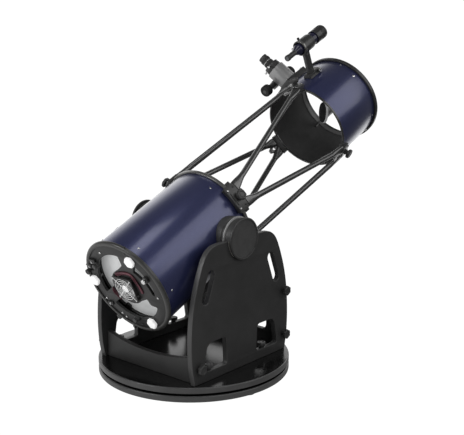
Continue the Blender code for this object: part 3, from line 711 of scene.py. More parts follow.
# ---------------------------------------------------------------- lower tube
TUBE_RADIUS, TUBE_WALL = 152.5, 1.5
REAR_FACE, LOWER_FRONT = -316.5, 91.4
UPPER_NEAR, UPPER_FAR = 645.5, 876.4
RING_RADIUS = 160


def shell(piece, low, high, bead=0.0):
    """Rolled tube, painted outside and matt black inside; a rolled bead can stiffen the near rim."""
    outer = [(TUBE_RADIUS, high, 0.3)]
    if bead:
        outer += [(TUBE_RADIUS, low + 8.5, 2), (TUBE_RADIUS + bead, low + 5.5, 2),
                  (TUBE_RADIUS + bead, low, 1.2)]
    else:
        outer += [(TUBE_RADIUS, low, 0.3)]
    inner = TUBE_RADIUS - TUBE_WALL
    loop = filleted(outer + [(inner, low, 0.3), (inner, high, 0.3)], 3)
    count = 192
    spokes = [(math.cos(TAU * i / count), math.sin(TAU * i / count)) for i in range(count)]
    rings = [[put(LENGTHWISE, r * c, r * d, h) for c, d in spokes] for r, h in loop]
    piece.loops(rings, PAINT, closed=True)
    lining = piece.index(LINING)
    axis = LENGTHWISE.inverted()
    for made in piece.bm.faces:
        spot = axis @ made.calc_center_median()
        if math.hypot(spot.x, spot.y) < (inner + 0.4) * MM:
            made.material_index = lining


def build_lower_tube():
    tube = shaped("lower_tube")
    shell(tube, CELL_BACK, LOWER_FRONT - 9)
    tube.ride("tube", "blue_paint")
    screws = Piece("lower_tube_screws")
    for s, first in ((50, 31.6), (-278, 30.0)):
        for k in range(6):
            cap_screw(screws, around(first + 60 * k, s, TUBE_RADIUS - 0.2), 3.2, 2.2, ZINC, socket=False)
    screws.ride("tube", "chrome")
    rear = shaped("rear_ring")
    outer, seat = RING_RADIUS + 1, TUBE_RADIUS + 0.4
    lip, front = CELL_BACK - 0.3, REAR_FACE + 12.5
    rear.turn([(outer - 2, front, 1), (outer, front - 2.5, 1.6), (outer, REAR_FACE, 6.8),
               (151, REAR_FACE, 1.2), (150, REAR_FACE + 1, 0.6), (148, REAR_FACE + 1, 0.5), (148, lip, 0.5),
               (seat, lip, 0.4), (seat, front, 0.6)], LENGTHWISE, RING_COAT, 160, closed=True, steps=5)
    for degrees in (-72, -143, 92, 20):
        cap_screw(rear, around(degrees, front - 5.5, outer - 0.4), 3.8, 3, CAST)
    rear.ride("tube", "casting")
    build_truss_ring(seat)


def build_truss_ring(seat):
    """Front ring of the lower tube with its three pole clamps."""
    ring = shaped("truss_ring")
    outer, step, rear = RING_RADIUS - 1, LOWER_FRONT - 8.5, 78
    ring.turn([(146, LOWER_FRONT, 2), (outer, LOWER_FRONT, 3.4), (outer, rear, 1.2), (seat, rear, 0.6),
               (seat, step, 0.4), (146, step, 1)], LENGTHWISE, CAST_WARM_PAINTED_HIGHLIGHT, 160, closed=True, steps=5)
    for middle in (-60, 60, 180):
        ring.plate(sector(153.2, 168.2, middle, 16, 28), 44, across(86.3), CAST, soft=3, rounds=4)
        ring.plate(sector(150, 160, middle, 20, 24), 17.6, across(99.2), CAST, soft=1)
        ring.plate(sector(164, 171.4, middle, 7.5, 14), 33, across(88), CAST, soft=1.4, rounds=3)
        ring.plate(filleted([(-30, 2, 3), (30, 2, 3), (10, 14, 4), (-10, 14, 4)], 4), 5,
                   around(middle, POLE_START + 1, POLE_CIRCLE), CAST, soft=1.2)
        for aside in (-11.5, 11.5):
            cap_screw(ring, around(middle + aside, 72, 168), 3.2, 2.2, ZINC)
            cap_screw(ring, around(middle + aside, 98.5, 168), 3.2, 2.2, CAST)
    ring.ride("tube", "casting")


# ---------------------------------------------------------------- mirror cell
KNOB_ANGLES, CLIP_ANGLES = (31.5, 151.5, 271.5), (91.5, 211.5, 331.5)
CELL_BACK, CELL_FRONT, CELL_RADIUS = -312.5, -304, 150
WINDOW_OUT, HUB_RADIUS, SCREW_CIRCLE = 115, 58.5, 130
FAN_HALF, FAN_CORNER, FAN_BACK, FAN_FRONT = 40, 4, -322.5, -302.5


def swept(radius, start, end, steps):
    """Circle points across the tube, angle from the top."""
    return [polar(radius, start + (end - start) * i / steps) for i in range(steps + 1)]


def corner(radius, degrees, fillet):
    return (*polar(radius, degrees), fillet)


def on_cell(radius, degrees, s=CELL_BACK):
    """Frame standing on the cell's rear face, local z pointing out of it."""
    x, u = polar(radius, degrees)
    return LENGTHWISE @ shift(x, -u, s) @ spin(180, "X")


def fan_square(half, fillet=FAN_CORNER):
    return filleted([(half, half, fillet), (-half, half, fillet), (-half, -half, fillet),
                     (half, -half, fillet)], 6)


def cell_windows():
    """Three unlike windows that leave a wide arm beside the top knob and two narrow ones."""
    wide = [corner(WINDOW_OUT, -111, 4)] + swept(WINDOW_OUT, -107, 2, 40)
    wide += [corner(WINDOW_OUT, 6, 4), corner(98, 8, 12), corner(83, 10, 4),
             corner(65, -7, 8)] + swept(HUB_RADIUS, -25, -90, 26) + [corner(HUB_RADIUS, -96, 4)]
    slim = [corner(WINDOW_OUT, 37, 3)] + swept(WINDOW_OUT, 39, 93, 24) + [corner(WINDOW_OUT, 95, 3)]
    slim += [polar(86 + 18.5 * i / 20, 40 + 54 * i / 20) for i in range(19, 1, -1)]
    slim += [corner(86, 40, 3)]
    low = [corner(WINDOW_OUT, 116, 4)] + swept(WINDOW_OUT, 120, 224, 40) + [corner(WINDOW_OUT, 228, 4)]
    low += [corner(HUB_RADIUS, 222, 4)] + swept(HUB_RADIUS, 216, 144, 28)
    low += [corner(HUB_RADIUS, 137, 4), corner(76.5, 111, 4), corner(91, 122.5, 12)]
    return [filleted(outline, 4) for outline in (wide, slim, low)]


def build_cell():
    """Fixed rear plate: windows, a square opening for the fan, bosses and small screws."""
    cell = shaped("mirror_cell")
    cell.plate(arc(CELL_RADIUS, 0, 357.5, 143), CELL_FRONT - CELL_BACK,
               across((CELL_BACK + CELL_FRONT) / 2), CELL_COAT,
               cell_windows() + [fan_square(FAN_HALF + 0.3)], soft=0.9, rounds=2)
    for knob in KNOB_ANGLES:
        cell.turn([(0, 0), (11.2, 0), (11.2, 1, 0.5), (0, 1)], on_cell(SCREW_CIRCLE, knob), CELL_COAT, 40)
    for radius, degrees in ((124, 94.5), (129, -29.0), (134, -148.0), (136, -119.5), (138, 205.0)):
        cap_screw(cell, on_cell(radius, degrees, CELL_BACK + 0.3), 3.4, 2.4, CHROME)
    for degrees in (-75.0, 20.0, 178.0):
        cell.block((-4, -3, -1), (4, 3, 1.2), on_cell(139.5, degrees) @ spin(degrees, "Z"), CELL_COAT, 0.6,
                   2)
    cell.ride("tube", "casting")
    build_carrier()
    build_mirror()
    build_adjusters()


def polar_local(radius, degrees):
    """Place round the tube in the lengthwise frame, whose y points down."""
    x, u = polar(radius, degrees)
    return (x, -u, 0)


MIRROR_BACK, MIRROR_THICK, MIRROR_RADIUS = -283.9, 30, 127


def build_carrier():
    """Floating ring round the mirror's back, with three tabs under the glass and three clips over it."""
    carrier = shaped("mirror_carrier")
    inner, outer, tab, half, thick = 128.5, 140.5, 113, 4.5, 6
    high = MIRROR_BACK - 0.3
    low = high - thick
    bore = []
    for clip in CLIP_ANGLES:
        bore += swept(inner, clip - 120 + half + 1, clip - half - 1, 44)
        bore += [corner(inner, clip - half, 2), corner(tab, clip - half, 3), corner(tab, clip + half, 3),
                 corner(inner, clip + half, 2)]
    carrier.plate(arc(outer, 0, 357.5, 143), thick, across((low + high) / 2), CELL_COAT,
                  [filleted(bore, 3)], soft=0.8)
    top, beside = MIRROR_BACK + MIRROR_THICK, MIRROR_RADIUS + 0.6
    for clip in CLIP_ANGLES:
        carrier.block((-10, low + 1, beside), (10, top + 4.5, 134.5), around(clip), PLASTIC, 0.8)
        carrier.block((-9.5, top + 0.6, 120), (9.5, top + 4, beside + 2), around(clip), PLASTIC, 0.8)
        cap_screw(carrier, around(clip, (low + top) / 2 + 8, 134.3), 3, 2, ZINC)
    carrier.ride("tube", "casting")


def build_mirror():
    """Glass disc: ground back and side, bevelled edge, aluminised concave front."""
    mirror = shaped("primary_mirror")
    front, bevel, curvature = MIRROR_BACK + MIRROR_THICK, 1.2, 4 * 1250
    rim = MIRROR_RADIUS - bevel
    face = [(rim * i / 14, front - (rim ** 2 - (rim * i / 14) ** 2) / curvature) for i in range(15)]
    mirror.turn(face, LENGTHWISE, SILVER, 128)
    mirror.turn([(rim, front), (MIRROR_RADIUS, front - bevel), (MIRROR_RADIUS, MIRROR_BACK + bevel),
                 (rim, MIRROR_BACK), (0, MIRROR_BACK)], LENGTHWISE, GLASS_BACK, 128)
    mirror.weld()
    mirror.ride("tube", "mirror_glass")


def build_adjusters():
    """White spring-loaded knobs with their springs, and the knurled lock screws between them."""
    for number, angle in enumerate(KNOB_ANGLES, 1):
        place = on_cell(SCREW_CIRCLE, angle, CELL_BACK - 0.3)
        knob = shaped(f"collimation_knob_{number}")
        knob.turn([(0, -22.5), (2.8, -22.5, 0.4), (2.8, 0), (8, 0, 0.4), (8, 3.2), (0, 3.2)], place, ZINC,
                  32)
        knob.turn([(0, 2.8), (14.5, 2.8, 1), (16.6, 4.4, 1.2), (16.6, 11.6, 1.2), (15, 13.4, 1.2),
                   (0, 13.4)], place, WHITE, 72, lobes=6, depth=0.055)
        knob.ride(f"collimation_knob_{number}", "white_plastic")
        build_spring(number, angle)
    locks = Piece("lock_screws")
    for angle, tip in zip(KNOB_ANGLES, (CHROME, CAST, CAST)):
        place = on_cell(117, angle + 31.5, CELL_BACK - 0.2)
        locks.turn([(0, 0), (10.5, 0, 0.4), (10.5, 6.6, 0.8), (8.8, 7.8, 0.6), (0, 7.8)], place, PLASTIC,
                   40, lobes=20, depth=0.02)
        locks.turn([(0, 7.4), (8, 7.4), (8, 15.5, 1.6), (6, 16.5, 0.8), (0, 16.5)], place, tip, 40)
    locks.ride("tube", "chrome")
    build_cell_fittings()


def build_cell_fittings():
    """Small castings on the far side of the cell: a screw, two blocks and two lugs outside the ring."""
    fittings = Piece("cell_fittings")
    place = on_cell(146, -76, REAR_FACE + 1.2)
    fittings.turn([(0, 0), (7, 0, 0.5), (7, 4.2, 0.8), (5, 5), (0, 5)], place, CAST, 32)
    fittings.turn([(0, 4.8), (8.5, 4.8, 1), (8.5, 13.5, 1.4), (4, 13.5, 0.6), (3.6, 12), (0, 12)], place,
                  PLASTIC, 48, lobes=8, depth=0.08)
    for radius, degrees, wide, deep, high in ((133, -56, 11, 8, 7.5), (138, -66, 6, 7, 10),
                                              (134, -128, 10, 6, 5)):
        place = on_cell(radius, degrees, CELL_BACK - 0.2)
        fittings.block((-wide, -deep, 0), (wide, deep, high), place, CAST, 1.6)
        cap_screw(fittings, place @ shift(0, 0, high - 0.2), 3.6, 2.4, STEEL)
    for degrees, wide, out in ((-144.5, 9, 16.5), (-166, 5, 12)):
        place = around(degrees, REAR_FACE + 6.5, RING_RADIUS - 0.5)
        fittings.block((-wide, -5.8, 0), (wide, 5.8, out * 0.6), place, CAST, 1.8)
        fittings.block((-wide * 0.7, -5, out * 0.5), (wide * 0.7, 5, out), place, PLASTIC, 2)
    fittings.ride("tube", "casting")


def build_spring(number, angle):
    spring = shaped(f"collimation_spring_{number}")
    bottom, top = CELL_FRONT + 1.2, MIRROR_BACK - 7.5
    turns, per_turn, coil = 4, 20, []
    for i in range(turns * per_turn + 1):
        a, share = TAU * i / per_turn, i / (turns * per_turn)
        eased = min(max((share - 0.12) / 0.76, 0.0), 1.0)
        coil.append((5.2 * math.cos(a), 5.2 * math.sin(a), bottom + (top - bottom) * eased))
    spring.wire(coil, 0.7, LENGTHWISE @ shift(*polar_local(SCREW_CIRCLE, angle)), STEEL)
    spring.ride("tube", "spring_steel")


# ---------------------------------------------------------------- fan
def build_fan():
    back, front, middle = FAN_BACK, FAN_FRONT, (FAN_BACK + FAN_FRONT) / 2
    ring = shaped("fan_frame")
    bolts = 34.5
    bolt_holes = [arc(2.2, 0, 330, 11, (sx * bolts, sy * bolts)) for sx, sy in CORNERS]
    for s in (back + 1.8, front - 1.8):
        ring.plate(fan_square(FAN_HALF, 5), 3.6, across(s), PLASTIC, [arc(37.6, 0, 355, 71), *bolt_holes],
                   soft=0.5)
    ring.turn([(39.2, front - 0.5), (39.2, back + 0.5), (37.4, back + 0.5, 0.6), (37.4, front - 0.5, 0.6)],
              LENGTHWISE, PLASTIC, 96, closed=True)
    for sx, sy in CORNERS:
        post = LENGTHWISE @ shift(sx * bolts, sy * bolts, back)
        ring.turn([(4, 19), (4, 1), (2.4, 1), (2.4, 19)], post, PLASTIC, 24, closed=True)
        cap_screw(ring, post @ spin(180, "X"), 3, 1.6, CHROME)
    ring.ride("tube", "black_plastic")
    rotor = shaped("fan_rotor")
    rotor.turn([(0, middle + 5.5), (15.8, middle + 5.5, 1), (15.8, middle - 7.2, 1.6), (0, middle - 7.2)],
               LENGTHWISE, FAN_BLACK, 48)
    for k in range(7):
        blade(rotor, 360 * k / 7, middle)
    rotor.turn([(0, middle - 7.1), (12, middle - 7.1), (12, middle - 7.6, 0.2), (0, middle - 7.6)],
               LENGTHWISE, WHITE, 40)
    rotor.ride("fan_rotor", "black_plastic")
    guard = shaped("fan_guard")
    face = back - 1
    for radius in (10, 16.5, 23, 29.5, 36):
        hoop = [(radius * math.cos(TAU * i / 60), radius * math.sin(TAU * i / 60), face) for i in range(60)]
        guard.wire(hoop, 0.8, LENGTHWISE, PLATED_WIRE, cyclic=True)
    for sx, sy in ((1, 1), (-1, 1)):
        ends = [(-sx * bolts, -sy * bolts, face + 0.2), (sx * bolts, sy * bolts, face + 0.2)]
        guard.wire(ends, 1.1, LENGTHWISE, PLATED_WIRE)
    guard.ride("tube", "chrome")
    build_fan_trim()


def build_fan_trim():
    """The fan's red leads: a bundle of four round one side, and three that cross the wide arm."""
    leads = Piece("fan_leads")
    lift = CELL_BACK - 1.8
    course = curve_through([(-32, 50.5), (-6, 51.5), (17, 59), (36, 66.5), (50, 65.5), (68, 62.5),
                            (95, 63)], 6)
    for strand, beside in enumerate((-4.2, -1.4, 1.4, 4.2)):
        points = []
        for i, (degrees, radius) in enumerate(course):
            x, u = polar(radius + beside, degrees)
            points.append((x, -u, lift - 0.9 * math.sin(0.3 * i + 2 * strand)))
        leads.wire(points, 1.8, LENGTHWISE, RED_PALE if strand == 2 else RED)
    for radius, start, end in ((64, -100, -136), (70, -104, -140), (76, -108, -134)):
        points = []
        for i in range(15):
            x, u = polar(radius + 2.2 * math.sin(0.45 * i + radius * 0.9), start + (end - start) * i / 14)
            points.append((x, -u, lift))
        leads.wire(curve_through(points, 3), 1.4, LENGTHWISE, RED)
    leads.ride("tube", "rubber")


def blade(piece, degrees, middle):
    """Twisted fan blade, root to tip."""
    rings = []
    for i in range(7):
        radius = 15 + (36.2 - 15) * i / 6
        pitch = math.radians(52 - 22 * i / 6)
        sweep = math.radians(degrees + 9 * i / 6)
        chord, thick = 6 + 3 * i / 6, 0.5
        section = [(-chord, -thick), (chord, -thick * 0.6), (chord, thick * 0.6), (-chord, thick)]
        ring = []
        for along, out in section:
            side = along * math.cos(pitch) - out * math.sin(pitch)
            lift = along * math.sin(pitch) + out * math.cos(pitch)
            turn = sweep + side / radius
            lift = max(-6.2, min(6.2, lift))
            ring.append(put(LENGTHWISE, radius * math.cos(turn), radius * math.sin(turn), middle + lift))
        rings.append(ring)
    piece.loops(rings, FAN_BLACK)


# ---------------------------------------------------------------- altitude bearings
def side_ring(where, radius, x=None, count=72):
    """Ring about the altitude axis at x, or along the line where a boss of that radius meets the tube."""
    ring = []
    for i in range(count):
        a = TAU * i / count
        y, z = radius * math.cos(a), radius * math.sin(a)
        reach = x or math.sqrt((TUBE_RADIUS + 0.4) ** 2 - z ** 2)
        ring.append(put(where, reach, y, z))
    return ring


def build_bearings():
    for name, side in (("right", 1), ("left", -1)):
        mirrored = TUBE @ Matrix.Diagonal((side, 1, 1, 1))
        drum = shaped(f"trunnion_{name}")
        profile = [(60.5, None), (62, 165.5), (62, 167.2), (60.5, 168), (58.8, 169), (58.8, 177.5),
                   (57.2, 178.5), (57.2, 182.2), (58.8, 183.2), (58.8, 200.8), (57.6, 202.2)]
        rings = [side_ring(mirrored, radius, x) for radius, x in profile]
        drum.loops(rings, DRUM_COAT)
        drum.ride("tube", "casting")
        washer = Piece(f"trunnion_washer_{name}")
        place = mirrored @ spin(90, "Y")
        washer.turn([(64.5, 181.8, 0.8), (64.5, 179, 0.8), (57.5, 179, 0.3), (57.5, 181.8, 0.3)], place,
                    WASHER_METAL, 96, closed=True)
        washer.ride("tube", "chrome")
        knob = shaped(f"altitude_knob_{name}")
        knob.turn([(0, 202.8), (60, 202.8, 1), (64.5, 204.2, 1.6), (64.5, 211.2, 1.8), (60.6, 212.6, 1.2),
                   (58.6, 211.8, 0.8), (57.4, 209.2, 1.2)], place, PLASTIC, 128, steps=5)
        knob.turn([(57.4, 209.2), (56, 208.8), (30, 209.1), (0, 209.2)], place, KNOB_FACE, 128)
        knob.weld()
        knob.ride(f"altitude_knob_{name}", "black_plastic")


# ---------------------------------------------------------------- truss
LOWER_NODES, UPPER_NODES = (-60.0, 60.0, 180.0), (0.0, -120.0, 120.0)
POLE_CIRCLE, POLE_RADIUS = 161, 10
POLE_START, POLE_END = 108.6, 627.2
LOWER_KNOBS, UPPER_KNOBS = (90, 171.6), (648, 169.8)      # place along the tube, and radius


def truss_poles():
    """Every pole's ends as (angle, angle), in the CAD's order."""
    for base in LOWER_NODES:
        for top in UPPER_NODES:
            turn = (top - base + 180) % 360 - 180
            if abs(turn) < 90:
                sense = math.copysign(1, turn)
                yield base + sense * 10.3, top - sense * 6.1


def build_poles():
    for number, (start, end) in enumerate(truss_poles(), 1):
        pole = shaped(f"truss_pole_{number}")
        x0, u0 = polar(POLE_CIRCLE, start)
        x1, u1 = polar(POLE_CIRCLE, end)
        foot, head = Vector((x0, POLE_START, u0)), Vector((x1, POLE_END, u1))
        run = head - foot
        rings = []
        flare = 62
        steps = [0, 4, 10, 18, 28, 40, 52, flare]
        marks = [d / run.length for d in steps] + [1 - d / run.length for d in reversed(steps)]
        for mark in marks:
            centre = foot + run * mark
            radial = Vector((centre.x, 0, centre.z)).normalized()
            side = radial.cross(Vector((0, 1, 0)))
            gap = min(mark, 1 - mark) * run.length
            share = 1 - min(gap / flare, 1.0)
            share = share * share * (3 - 2 * share)
            wide, thick = POLE_RADIUS * (1 + 0.75 * share), POLE_RADIUS * (1 - 0.25 * share)
            power = 1 - 0.35 * share
            ring = []
            for i in range(32):
                a = TAU * i / 32
                c, q = math.cos(a), math.sin(a)
                out = thick * math.copysign(abs(c) ** power, c)
                off = wide * math.copysign(abs(q) ** power, q)
                ring.append(put(TUBE, *(centre + radial * out + side * off)))
            rings.append(ring)
        pole.loops(rings, POLE)
        pole.ride("tube", "casting", sharp=40)


def build_upper_clamps():
    for number, middle in enumerate(UPPER_NODES, 1):
        low, high = POLE_END + 0.3, 664
        clamp = shaped(f"upper_clamp_{number}")
        clamp.plate(sector(155.2, 166.5, middle, 9.5, 24), high - low, across((low + high) / 2), CAST,
                    soft=2, rounds=3)
        clamp.plate(sector(150, 160, middle, 13.5, 20), 17.2, across(636.4), CAST, soft=1)
        clamp.plate(sector(165.5, 169, middle, 7.5, 12), 33, across(646), CLAMP_METAL, soft=1.2, rounds=3)
        clamp.plate(filleted([(-24, 2, 3), (24, 2, 3), (6, -45, 4), (-6, -45, 4)], 4), 5,
                    around(middle, POLE_END - 1, POLE_CIRCLE), CLAMP_METAL,
                    [filleted([(-10, -6, 2), (10, -6, 2), (0.0, -28, 2)], 4)], soft=1.2)
        for aside in (-6.5, 6.5):
            cap_screw(clamp, around(middle + aside, 659, 168.8), 3, 2, ZINC)
        clamp.ride("tube", "casting")


def build_truss_knobs():
    places = [(a, *LOWER_KNOBS) for a in LOWER_NODES] + [(a, *UPPER_KNOBS) for a in UPPER_NODES]
    for number, (angle, s, surface) in enumerate(places, 1):
        knob = shaped(f"truss_knob_{number}")
        hand_knob(knob, around(angle, s, surface), 16, 19, KNOB_FACE, depth=0.06, lift=0.40)
        knob.ride(f"truss_knob_{number}", "black_plastic")


# ---------------------------------------------------------------- upper tube
SECONDARY, VANES = 757, 840
FOCUSER_ANGLE, FINDER_HEIGHT = -45.0, 269.5


def build_upper_tube():
    tube = shaped("upper_tube")
    shell(tube, UPPER_NEAR, UPPER_FAR - 10)
    obj = tube.ride("tube", "blue_paint")
    cutter = Piece("light_path")
    cutter.turn([(0, 170), (30.5, 170), (30.5, 120), (0, 120)], around(FOCUSER_ANGLE, SECONDARY), LINING,
                64)
    helper = cutter.finished()
    cut = obj.modifiers.new("cut", "BOOLEAN")
    cut.operation, cut.solver, cut.object = "DIFFERENCE", "EXACT", helper
    bpy.context.view_layer.update()
    opened = bpy.data.meshes.new_from_object(obj.evaluated_get(bpy.context.evaluated_depsgraph_get()))
    obj.modifiers.clear()
    obj.data = opened
    bpy.data.objects.remove(helper)
    screws = Piece("upper_tube_screws")
    for k in range(4):
        cap_screw(screws, around(45 + 90 * k, VANES, TUBE_RADIUS - 0.2), 5, 3.4, CHROME, socket=False)
        cap_screw(screws, around(20 + 90 * k, 853, TUBE_RADIUS - 0.2), 2.8, 1.8, ZINC, socket=False)
    screws.ride("tube", "chrome")
    ring = shaped("end_ring")
    outer, seat, near, step = 159.4, TUBE_RADIUS + 0.4, 861, UPPER_FAR - 9.7
    ring.turn([(148, UPPER_FAR, 1.4), (outer, UPPER_FAR, 3.4), (outer, near, 1.2), (seat, near, 0.6),
               (seat, step, 0.4), (148, step, 1)], LENGTHWISE, CAST, 160, closed=True, steps=5)
    ring.ride("tube", "casting")
    trim = Piece("edge_trim")
    hidden, far = UPPER_NEAR - 0.1, UPPER_NEAR + 6.6
    low, seat = UPPER_NEAR - 0.3, TUBE_RADIUS + 0.1
    trim.turn([(154.8, low, 1), (154.8, far, 0.9), (seat, far, 0.3), (seat, hidden), (150.9, hidden),
               (150.9, far, 0.3), (149.2, far, 0.6), (149.2, low, 0.8)], LENGTHWISE, TRIM, 160, closed=True)
    trim.ride("tube", "black_plastic")
    band = Piece("end_band")
    band.turn([(150.9, UPPER_FAR - 27), (149.4, UPPER_FAR - 27, 0.4), (148.6, UPPER_FAR - 24, 0.6),
               (148.6, UPPER_FAR - 10), (150.9, UPPER_FAR - 10)], LENGTHWISE, END_BAND, 160, closed=True)
    band.ride("tube", "casting")


def build_secondary():
    spider = shaped("spider")
    reach, half, hub = TUBE_RADIUS - TUBE_WALL - 0.3, 0.6, 19.5
    for k in range(4):
        place = around(45 + 90 * k, VANES)
        spider.block((-half, -12.5, hub - 2), (half, 12.5, reach - 2), place, CAST, 0.3, 1)
        spider.block((-4, -12.5, reach - 2.5), (4, 12.5, reach), place, CAST, 0.5, 2)
    spider.turn([(0, VANES + 12.5), (hub, VANES + 12.5, 2), (hub, VANES - 12.5, 2), (0, VANES - 12.5)],
                LENGTHWISE, CAST, 56)
    for k in range(3):
        spot = LENGTHWISE @ shift(*polar_local(12, 120 * k)) @ shift(0, 0, VANES + 12.4)
        cap_screw(spider, spot, 3, 4, CHROME)
    cap_screw(spider, LENGTHWISE @ shift(0, 0, VANES + 12.4), 5, 3.4, CHROME)
    spider.ride("tube", "casting")
    build_diagonal()


def build_diagonal():
    """Elliptical flat facing the focuser and the primary, on its sloped holder."""
    minor, glass = 29, 8
    slope = math.sqrt(0.5)
    side, up = polar(slope, FOCUSER_ANGLE)
    facing = Vector((side, -slope, up))
    long_way = (Vector((0, 1, 0)) - facing * facing.y).normalized()
    frame_of = Matrix((long_way, facing.cross(long_way), facing)).transposed().to_4x4()
    place = TUBE @ shift(0, SECONDARY, 0) @ frame_of
    flat_mirror = shaped("secondary_mirror")
    oval = Matrix.Diagonal((minor / slope, minor, 1, 1))
    flat_mirror.turn([(0, 0), (0.985, 0)], place @ oval, SILVER, 96)
    flat_mirror.turn([(0.985, 0), (1.0, -0.5), (1.0, -glass), (0, -glass)], place @ oval, GLASS_BACK, 96)
    flat_mirror.weld()
    flat_mirror.ride("tube", "mirror_glass")
    holder = shaped("secondary_holder")
    count, radius = 64, 26.5
    seat = []
    for i in range(count):
        x, u = polar(radius, 360 * i / count)
        cut = SECONDARY + (facing.x * x + facing.z * u) / slope + (glass + 0.3) / slope
        seat.append(tube_point(x, cut, u))
    rings = [seat]
    for wide, s in ((radius, 810), (radius * 0.93, 812), (8, 812), (8, 827.2)):
        spots = [polar(wide, 360 * i / count) for i in range(count)]
        rings.append([tube_point(x, s, u) for x, u in spots])
    holder.loops(rings, FOCUS_GREY)
    holder.ride("tube", "casting")


# ---------------------------------------------------------------- focuser
AXLE_X, AXLE_Z = -35.5, 200.5


def saddle_base(piece, place):
    """Square base whose underside is scooped to the tube."""
    half_x, half_y, top, rows = 56, 52, 165.5, 24
    seat = TUBE_RADIUS + 0.6
    section = []
    for i in range(rows + 1):
        x = -half_x + 2 * half_x * i / rows
        section.append((x, math.sqrt(seat ** 2 - x ** 2)))
    profile = section + filleted([(half_x, section[-1][1]), (half_x, top, 3), (-half_x, top, 3),
                                  (-half_x, section[0][1])], 5, False)[1:-1]
    piece.plate(profile, 2 * half_y, place @ spin(90, "X"), CAST, soft=1.2, rounds=3)


def build_focuser():
    place = around(FOCUSER_ANGLE, SECONDARY)
    base = shaped("focuser_base")
    saddle_base(base, place)
    for sx, sy in CORNERS:
        cap_screw(base, place @ shift(sx * 46, sy * 43, 165.3), 4.2, 3, ZINC)
    base.turn([(42.5, 165.2), (42.5, 169, 1), (36.2, 169, 1), (36.2, 165.2)], place, CAST, 96, closed=True)
    base.ride("tube", "casting")

    body = shaped("focuser_body")
    bore = 26.2
    body.turn([(bore, 166, 0.4), (35, 166, 0.6), (35, 233, 2), (33, 234.2, 0.6), (bore, 234.2, 0.6)], place,
              FOCUS_GREY, 112, closed=True)
    body.block((-52.5, -30, 187), (-30, 30, 214), place, FOCUS_GREY, 3, 4)
    sleeve = place @ shift(AXLE_X, 0, AXLE_Z) @ UPWARD
    for sign in (-1, 1):
        body.turn([(10.5, sign * 28), (10.5, sign * 54.5, 0.8), (4.6, sign * 54.5, 0.4), (4.6, sign * 28)],
                  sleeve, CAST, 40, closed=True)
        for z in (191.5, 209.5):
            cap_screw(body, place @ shift(-52.3, sign * 22, z) @ spin(-90, "Y"), 2.6, 1.8, ZINC)
    body.ride("tube", "focuser_grey")

    draw = shaped("focuser_drawtube")
    draw.turn([(28.8, 256, 1), (16.2, 256, 0.6), (16.2, 238), (23.6, 236), (23.6, 152, 0.3),
               (25.8, 152, 0.3), (25.8, 234.6), (28.8, 234.6, 1)], place, CAST, 96, closed=True)
    ribs = 60
    for k in range(ribs):
        turn = place @ spin(360 * k / ribs, "Z")
        draw.block((28.4, -0.9, 236.2), (29.5, 0.9, 245), turn, CAST, 0.3, 1)
    for degrees in (115, 205, 300):
        screw = place @ spin(degrees, "Z") @ shift(28.6, 0, 250.8) @ spin(90, "Y")
        draw.turn([(0, 0), (1.8, 0), (1.8, 4.5), (4.4, 4.5, 0.4), (4.4, 10, 0.5), (0, 10)], screw, CHROME,
                  24, lobes=12, depth=0.03)
    draw.ride("drawtube", "casting")
    build_eyepiece(place)
    build_focus_knobs(sleeve)


def build_eyepiece(place):
    piece = shaped("eyepiece")
    piece.turn([(0, 239), (15, 239), (15.8, 239.6, 0.4), (15.8, 260), (0, 260)], place, CHROME, 64)
    piece.turn([(0, 256.3), (18.5, 256.3, 1), (18.5, 270, 0.8), (17.2, 271.5, 0.6), (17.2, 274, 0.6),
                (18, 275.2, 0.6), (18, 287, 0.8), (16.8, 288.5, 0.6), (16.8, 298.5, 1.6), (12.5, 300, 1),
                (10, 295.5, 0.6), (9, 295)], place, PLASTIC, 72)
    piece.turn([(9.2, 295), (6, 296.2), (0, 296.8)], place, LENS, 72)
    for z in (258.6, 260.8, 263, 265.2, 267.4):
        piece.turn([(19, z, 0.3), (19, z - 1.1, 0.3), (18, z - 1.1), (18, z)], place, RUBBER, 72,
                   closed=True)
    piece.turn([(18.3, 273.8, 0.2), (18.3, 272.2, 0.2), (16.8, 272.2), (16.8, 273.8)], place, CHROME, 72,
               closed=True)
    for k in range(30):
        piece.block((17.6, -0.9, 276.8), (18.5, 0.9, 285.8), place @ spin(12 * k, "Z"), RUBBER, 0.3, 1)
    piece.ride("drawtube", "black_plastic")


def build_focus_knobs(sleeve):
    knobs = shaped("focus_knobs")
    knobs.turn([(0, 60), (4, 60), (4, -60), (0, -60)], sleeve, CHROME, 32)
    for sign in (-1, 1):
        near, far = 57, 87
        grip = [(0, near), (15, near, 1.5), (19.6, near + 5, 2), (19.6, far - 3, 2), (16.5, far, 1.2),
                (15, far - 0.8, 0.6), (8, far - 2.2, 1), (0, far - 2.2)]
        knobs.turn([(radius, sign * out, *fillet) for radius, out, *fillet in grip], sleeve, RUBBER, 72)
        for k in range(28):
            low, high = sorted((sign * (near + 7), sign * (far - 5)))
            knobs.block((19, -1.1, low), (20.5, 1.1, high), sleeve @ spin(360 * k / 28, "Z"), RUBBER, 0.4,
                        1)
        disc, dome = sign * (far - 2.4), sign * (far - 1)
        knobs.turn([(0, disc), (7.5, disc), (7, dome, 0.3), (0, dome)], sleeve, KNOB_FACE, 48)
    knobs.ride("focus_knob", "rubber")


